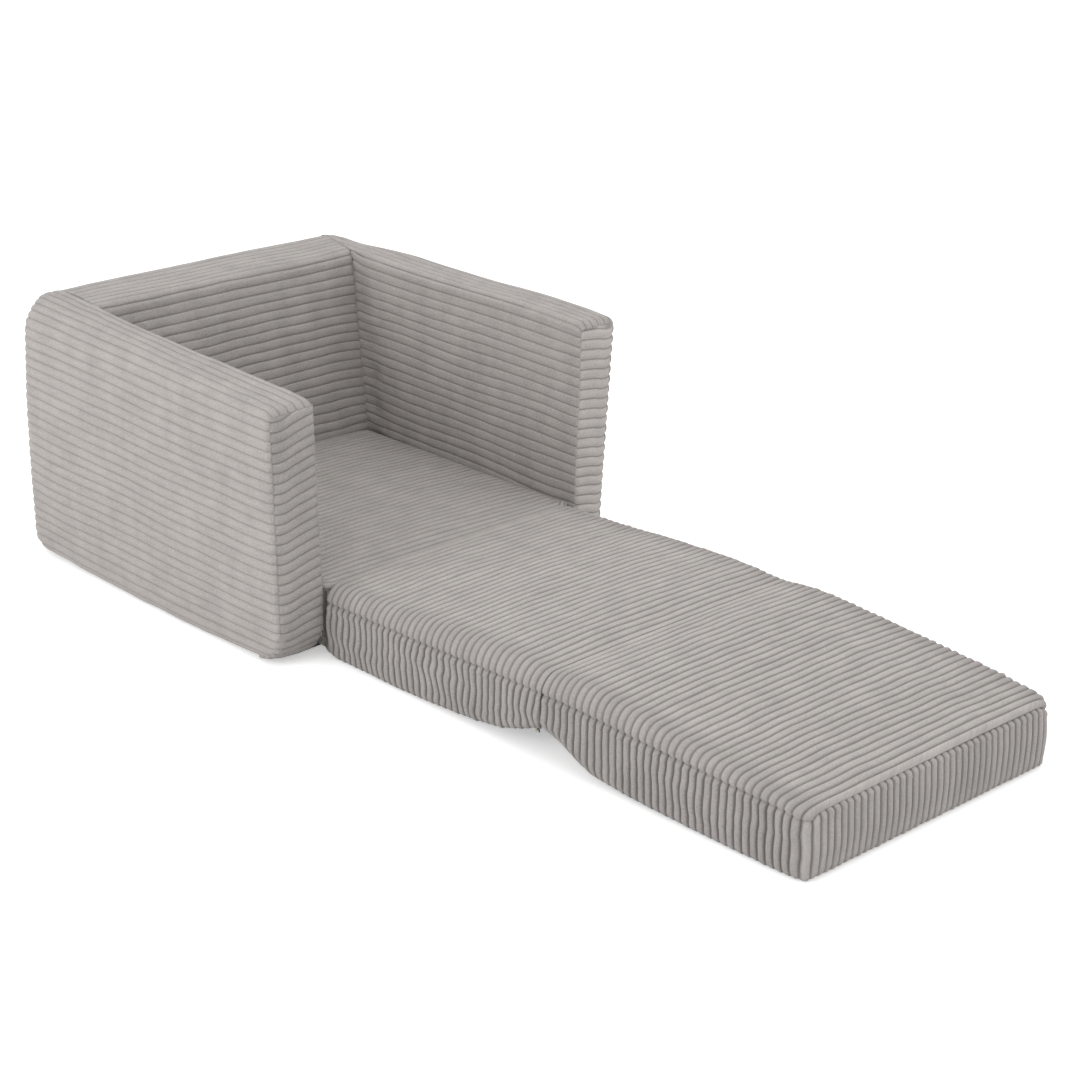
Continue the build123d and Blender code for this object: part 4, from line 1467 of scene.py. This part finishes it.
band_half = SEAT_HALF - 0.5
wanted = wale_places(0, 2 * band_half / BAND_PITCH)
band_line = np.concatenate([
    [[shell_front, SEAT_SEAM]],
    arc(shell_front + 10, 10, 10, 180, 270, 10)[0],
])
level_y, level_z = respace(band_line, seam_places(94, 6.0)).T
x = (-band_half + wanted * BAND_PITCH)[:, None]
ends = ease(np.abs(x), 194, 206)
rise = 22 * ends * (1 - level_z / SEAT_SEAM)
seat_band = lay_cover(
    "seat_band", xyz(x, level_y + END_RECESS * ends, level_z + rise), wanted, band_corduroy,
    (0, 300, 40), "seat", 91, relief=2.0, follow=0.0,
)

hand_over("shell", (
    (left_sleeve, "left_arm_cover", "corduroy"),
    (right_sleeve, "right_arm_cover", "corduroy"),
    (left_panel, "left_arm_front_panel", "corduroy_front"),
    (right_panel, "right_arm_front_panel", "corduroy_front"),
    (back_cover, "back_cover", "corduroy"),
    (seat_top, "seat_top_cover", "corduroy_seat"),
    (seat_band, "seat_front_band", "corduroy_band"),
))

# %% [markdown]
# ## Underneath: non-slip cloth, fold cloths and zips
#
# Under the shell and both pads is a matt cloth with small dots, sewn in between the
# corduroy's lower edges. A zip lets each cover come off its foam. Two strips of plain cloth
# join the shell to the middle pad and the two pads to each other; they bend at the folds.
# The zips of the pads sit in slots in their bands.

# %% Cut straight slots through the covers
PAD_SLOT = 174


def faces_between(work, low, high, margin=0.0):
    """The faces whose middle lies between two corners."""
    low, high = np.array(low) - margin, np.array(high) + margin
    return [
        f for f in work.faces
        if all(a < c < b for a, c, b in zip(low, f.calc_center_median(), high))
    ]


def cut_slot(piece, low, high, inward):
    """Opens a slot between two corners, in mm, and turns its edges in."""
    work = bmesh.new()
    work.from_mesh(piece.data)
    low, high = Vector(low) * MM, Vector(high) * MM
    for axis in range(3):
        if inward[axis]:
            continue
        for place in (low[axis], high[axis]):
            near = faces_between(work, low, high, 0.02)
            corners = list(dict.fromkeys(v for f in near for v in f.verts))
            sides = list(dict.fromkeys(e for f in near for e in f.edges))
            normal, spot = [0, 0, 0], [0, 0, 0]
            normal[axis], spot[axis] = 1, place
            bmesh.ops.bisect_plane(
                work, geom=corners + sides + near, plane_co=spot, plane_no=normal, dist=1e-6
            )
    inside = faces_between(work, low, high)
    edges = dict.fromkeys(e for f in inside for e in f.edges)
    bmesh.ops.delete(work, geom=inside, context="FACES")
    rim = [e for e in edges if e.is_valid and e.is_boundary]
    made = bmesh.ops.extrude_edge_only(work, edges=rim)["geom"]
    moved = [g for g in made if isinstance(g, bmesh.types.BMVert)]
    bmesh.ops.translate(work, verts=moved, vec=Vector(inward) * MM)
    work.to_mesh(piece.data)
    work.free()
    print(piece.name, "slot of", len(inside), "faces")


for band, y, inward in ((middle_band, middle_front, 3.2), (end_band, end_rear, -3.2)):
    cut_slot(band, (-PAD_SLOT, y - 6, 50), (PAD_SLOT, y + 6, 70), (0, inward, 0))
for block, pieces in (
    ("seat", (seat_top, seat_band)),
    ("middle_pad", (middle_top, middle_band)),
    ("end_pad", (end_top, end_band)),
):
    for piece in pieces:
        press(piece, block)


# %% [markdown]
# The base cloths lie across the undersides, with a little slack between their seams. The
# shell's has a slot for its zip.


# %% Lay the base cloths
def thicken(cloth, thickness, offset):
    """Gives a sheet its thickness, in metres."""
    thick = cloth.modifiers.new("cloth thickness", "SOLIDIFY")
    thick.thickness = thickness
    thick.offset = offset
    bpy.ops.object.modifier_apply(modifier=thick.name)


def base_cloth(name, half, places_y, height, body, node, slot=None):
    """A plain sheet across the underside, a little slack between its seams."""
    sheet = xyz(np.linspace(-half, half, 48)[None, :], places_y[:, None], 0.0)
    x, y = sheet[:, :, 0], sheet[:, :, 1]
    from_end = np.minimum(y - places_y[0], places_y[-1] - y)
    edge = np.minimum(half - np.abs(x), from_end)
    wrinkle = 0.45 * (1 + drift(x / 90, y / 70, len(name))) * ease(edge, 0, 12)
    sheet[:, :, 2] = height(x, y) + 0.3 + wrinkle + 1.2 * (1 - ease(edge, 0, 5))
    cloth = grid_object(name, sheet, sheet[:, :, :2] / 12, base_look)
    if slot:
        cut_slot(cloth, *slot, (0, 0, 1.5))
    thicken(cloth, 0.0009, 1.0)
    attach(cloth, body)
    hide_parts(node)


def under_shell(x, y):
    """The floor's level, lifted towards the shell's outer edges."""
    out = np.clip((np.abs(x) - inner_x) / (outer_x - inner_x), 0, 1)
    return corner_lift(y) * out + 1.5 * ease(np.abs(x), 235, 260)


SHELL_SLOT = ((-169, 552.5, -4), (169, 572.1, 4))
base_cloth(
    "shell_base", 259.5, np.linspace(132, 623, 60), under_shell,
    "shell", "shell_base_cloth", SHELL_SLOT,
)
for pad, count in ((middle_pad, 50), (end_pad, 40)):
    start, end = pad.front + pad.base_inset[0] - 1, pad.rear - pad.base_inset[1] + 1
    base_cloth(
        pad.name + "_base", BASE_HALF_WIDTH + 1, np.linspace(start, end, count),
        lambda x, y, pad=pad: pad.bottom(y), pad.name, pad.name + "_base_cloth",
    )

# %% [markdown]
# Each fold cloth is a strip along a bent line, sewn to a body on either side. It is laid
# already bent, as the fold lies.


# %% Lay the fold cloths
def fold_cloth(name, half, line, node):
    """A strip bent along a line of points (y, z), half as wide as given to each side."""
    line = respace(np.array(line, float), np.linspace(0, 1, 28))
    x = np.linspace(-half, half, 60)[None, :]
    sheet = xyz(x, line[:, :1], line[:, 1:])
    uv = xyz(x / 12, np.arange(len(line))[:, None] / 8)
    strip = grid_object(name, sheet, uv, fold_look)
    thicken(strip, 0.0007, 0)
    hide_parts(node)
    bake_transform(strip)


seat_bend = arc(99.3, 89, 2.6, 0, -180, 15)[0]
fold_cloth(
    "seat_fold_cloth", 187, [(101.9, 93.5), *seat_bend, (96.7, 93.5)],
    "seat_hinge_strip",
)
RIDGE_LINE = [
    (-262, 25.2), (-270, 27.8), (-279, 31), (-287, 33.6), (-294, 33.6), (-302, 32), (-311, 29.4),
]
fold_cloth(
    "pad_fold_cloth", 181, RIDGE_LINE,
    "pad_hinge_strip",
)

# %% [markdown]
# The zips keep their CAD shapes. Each tape is a close twill with a coil of teeth along its
# middle, and each slider is painted metal, worn a little in patches.

# %% Zips
tape_look, tree, shader, place, plain = plain_fabric(
    "zip_tape", (0.30, 0.277, 0.262), 0.10, 900, 0.0002
)
twill = add_texture(
    tree, "ShaderNodeTexWave", place, {"Scale": 620},
    wave_type="BANDS", bands_direction="DIAGONAL",
)
teeth = add_texture(tree, "ShaderNodeTexWave", place, {"Scale": 330}, bands_direction="X")["Fac"]
toothed = add_mix(tree, add_range(tree, teeth, 0.3, 0.7), plain, (0.20, 0.185, 0.175, 1))
tree.links.new(toothed, shader.inputs["Base Color"])
add_bump(tree, shader, add_math(tree, "MULTIPLY_ADD", teeth, 0.6, twill["Fac"]), 0.7, 0.0005)

metal_look, tree, shader = new_material("zip_metal")
shader.inputs["Metallic"].default_value = 0.85
place = tree.nodes.new("ShaderNodeTexCoord").outputs["Object"]
wear = add_noise(tree, place, 450, 4, 0.6)
paint, bare = (0.16, 0.155, 0.15, 1), (0.34, 0.33, 0.32, 1)
worn = add_mix(tree, add_range(tree, wear, 0.35, 0.7), paint, bare)
tree.links.new(worn, shader.inputs["Base Color"])
tree.links.new(add_range(tree, wear, 0.2, 0.8, 0.28, 0.5), shader.inputs["Roughness"])
add_bump(tree, shader, wear, 0.2, 0.0001)

for node in ("shell_zip", "middle_pad_zip", "end_pad_zip"):
    for name, look in ((node, tape_look), (node + "_slider", metal_look)):
        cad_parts[name].data.materials.clear()
        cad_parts[name].data.materials.append(look)

# %% [markdown]
# ## Tuck the foam under the covers
#
# The covers round the foam's edges more than the blocks were cut, so the foam is pressed in
# there: any point of a block that isn't a few millimetres under its cover is moved in.

# %% Foam under its covers
TUCK_DEPTH = 4.0
CORE_FLOOR = 3.2


def skin_tree(covers):
    """A search tree over the smooth covers of one block, with their outward sides."""
    points, faces, outward = [], [], []
    for cover in covers:
        sheet, normal = SKINS[cover]
        if "arm" in covers[0] and cover == "back_panel":
            behind = sheet[:, 0, 1] > 600
            sheet, normal = sheet[behind], normal[behind]
        sheet, normal = sheet[::4], normal[::4]
        rows, columns = sheet.shape[:2]
        start = len(points)
        points.extend(sheet.reshape(-1, 3).tolist())
        for i in range(rows - 1):
            for j in range(columns - 1):
                a = start + i * columns + j
                faces.append((a, a + 1, a + columns + 1, a + columns))
                outward.append(normal[i, j])
    return BVHTree.FromPolygons(points, faces), outward


def tuck_foam(name, body, covers):
    """Moves a block's points in under its covers and finishes the block."""
    block = FOAM[name]
    tree, outward = skin_tree(covers)
    places = block["before"] + block["moved"]
    for _ in range(2):
        for i, place in enumerate(places):
            hit, _, face, _ = tree.find_nearest(place)
            normal = Vector(outward[face])
            over = (Vector(place) - hit).dot(normal) + TUCK_DEPTH
            if over > 0:
                places[i] = np.array(Vector(place) - normal * over)
    places[:, 2] = np.maximum(places[:, 2], CORE_FLOOR)
    core = block["core"]
    core.data.vertices.foreach_set("co", (places * MM).astype(np.float32).ravel())
    core.data.update()
    activate(core)
    bpy.ops.object.shade_smooth()
    hand_over(body, [(core, name + "_foam", "foam")])
    press(core, name)


tuck_foam("back", "shell", ("back_panel", "left_arm_sleeve", "right_arm_sleeve"))
for arm in ("left_arm", "right_arm"):
    sleeve = arm + "_sleeve"
    tuck_foam(arm, "shell", (sleeve, sleeve + "_inner", arm + "_panel", "back_panel"))
tuck_foam("seat", "shell", ("seat_panel", "seat_band"))
for pad in ("middle_pad", "end_pad"):
    tuck_foam(pad, pad, (pad + "_top", pad + "_band"))

# %% [markdown]
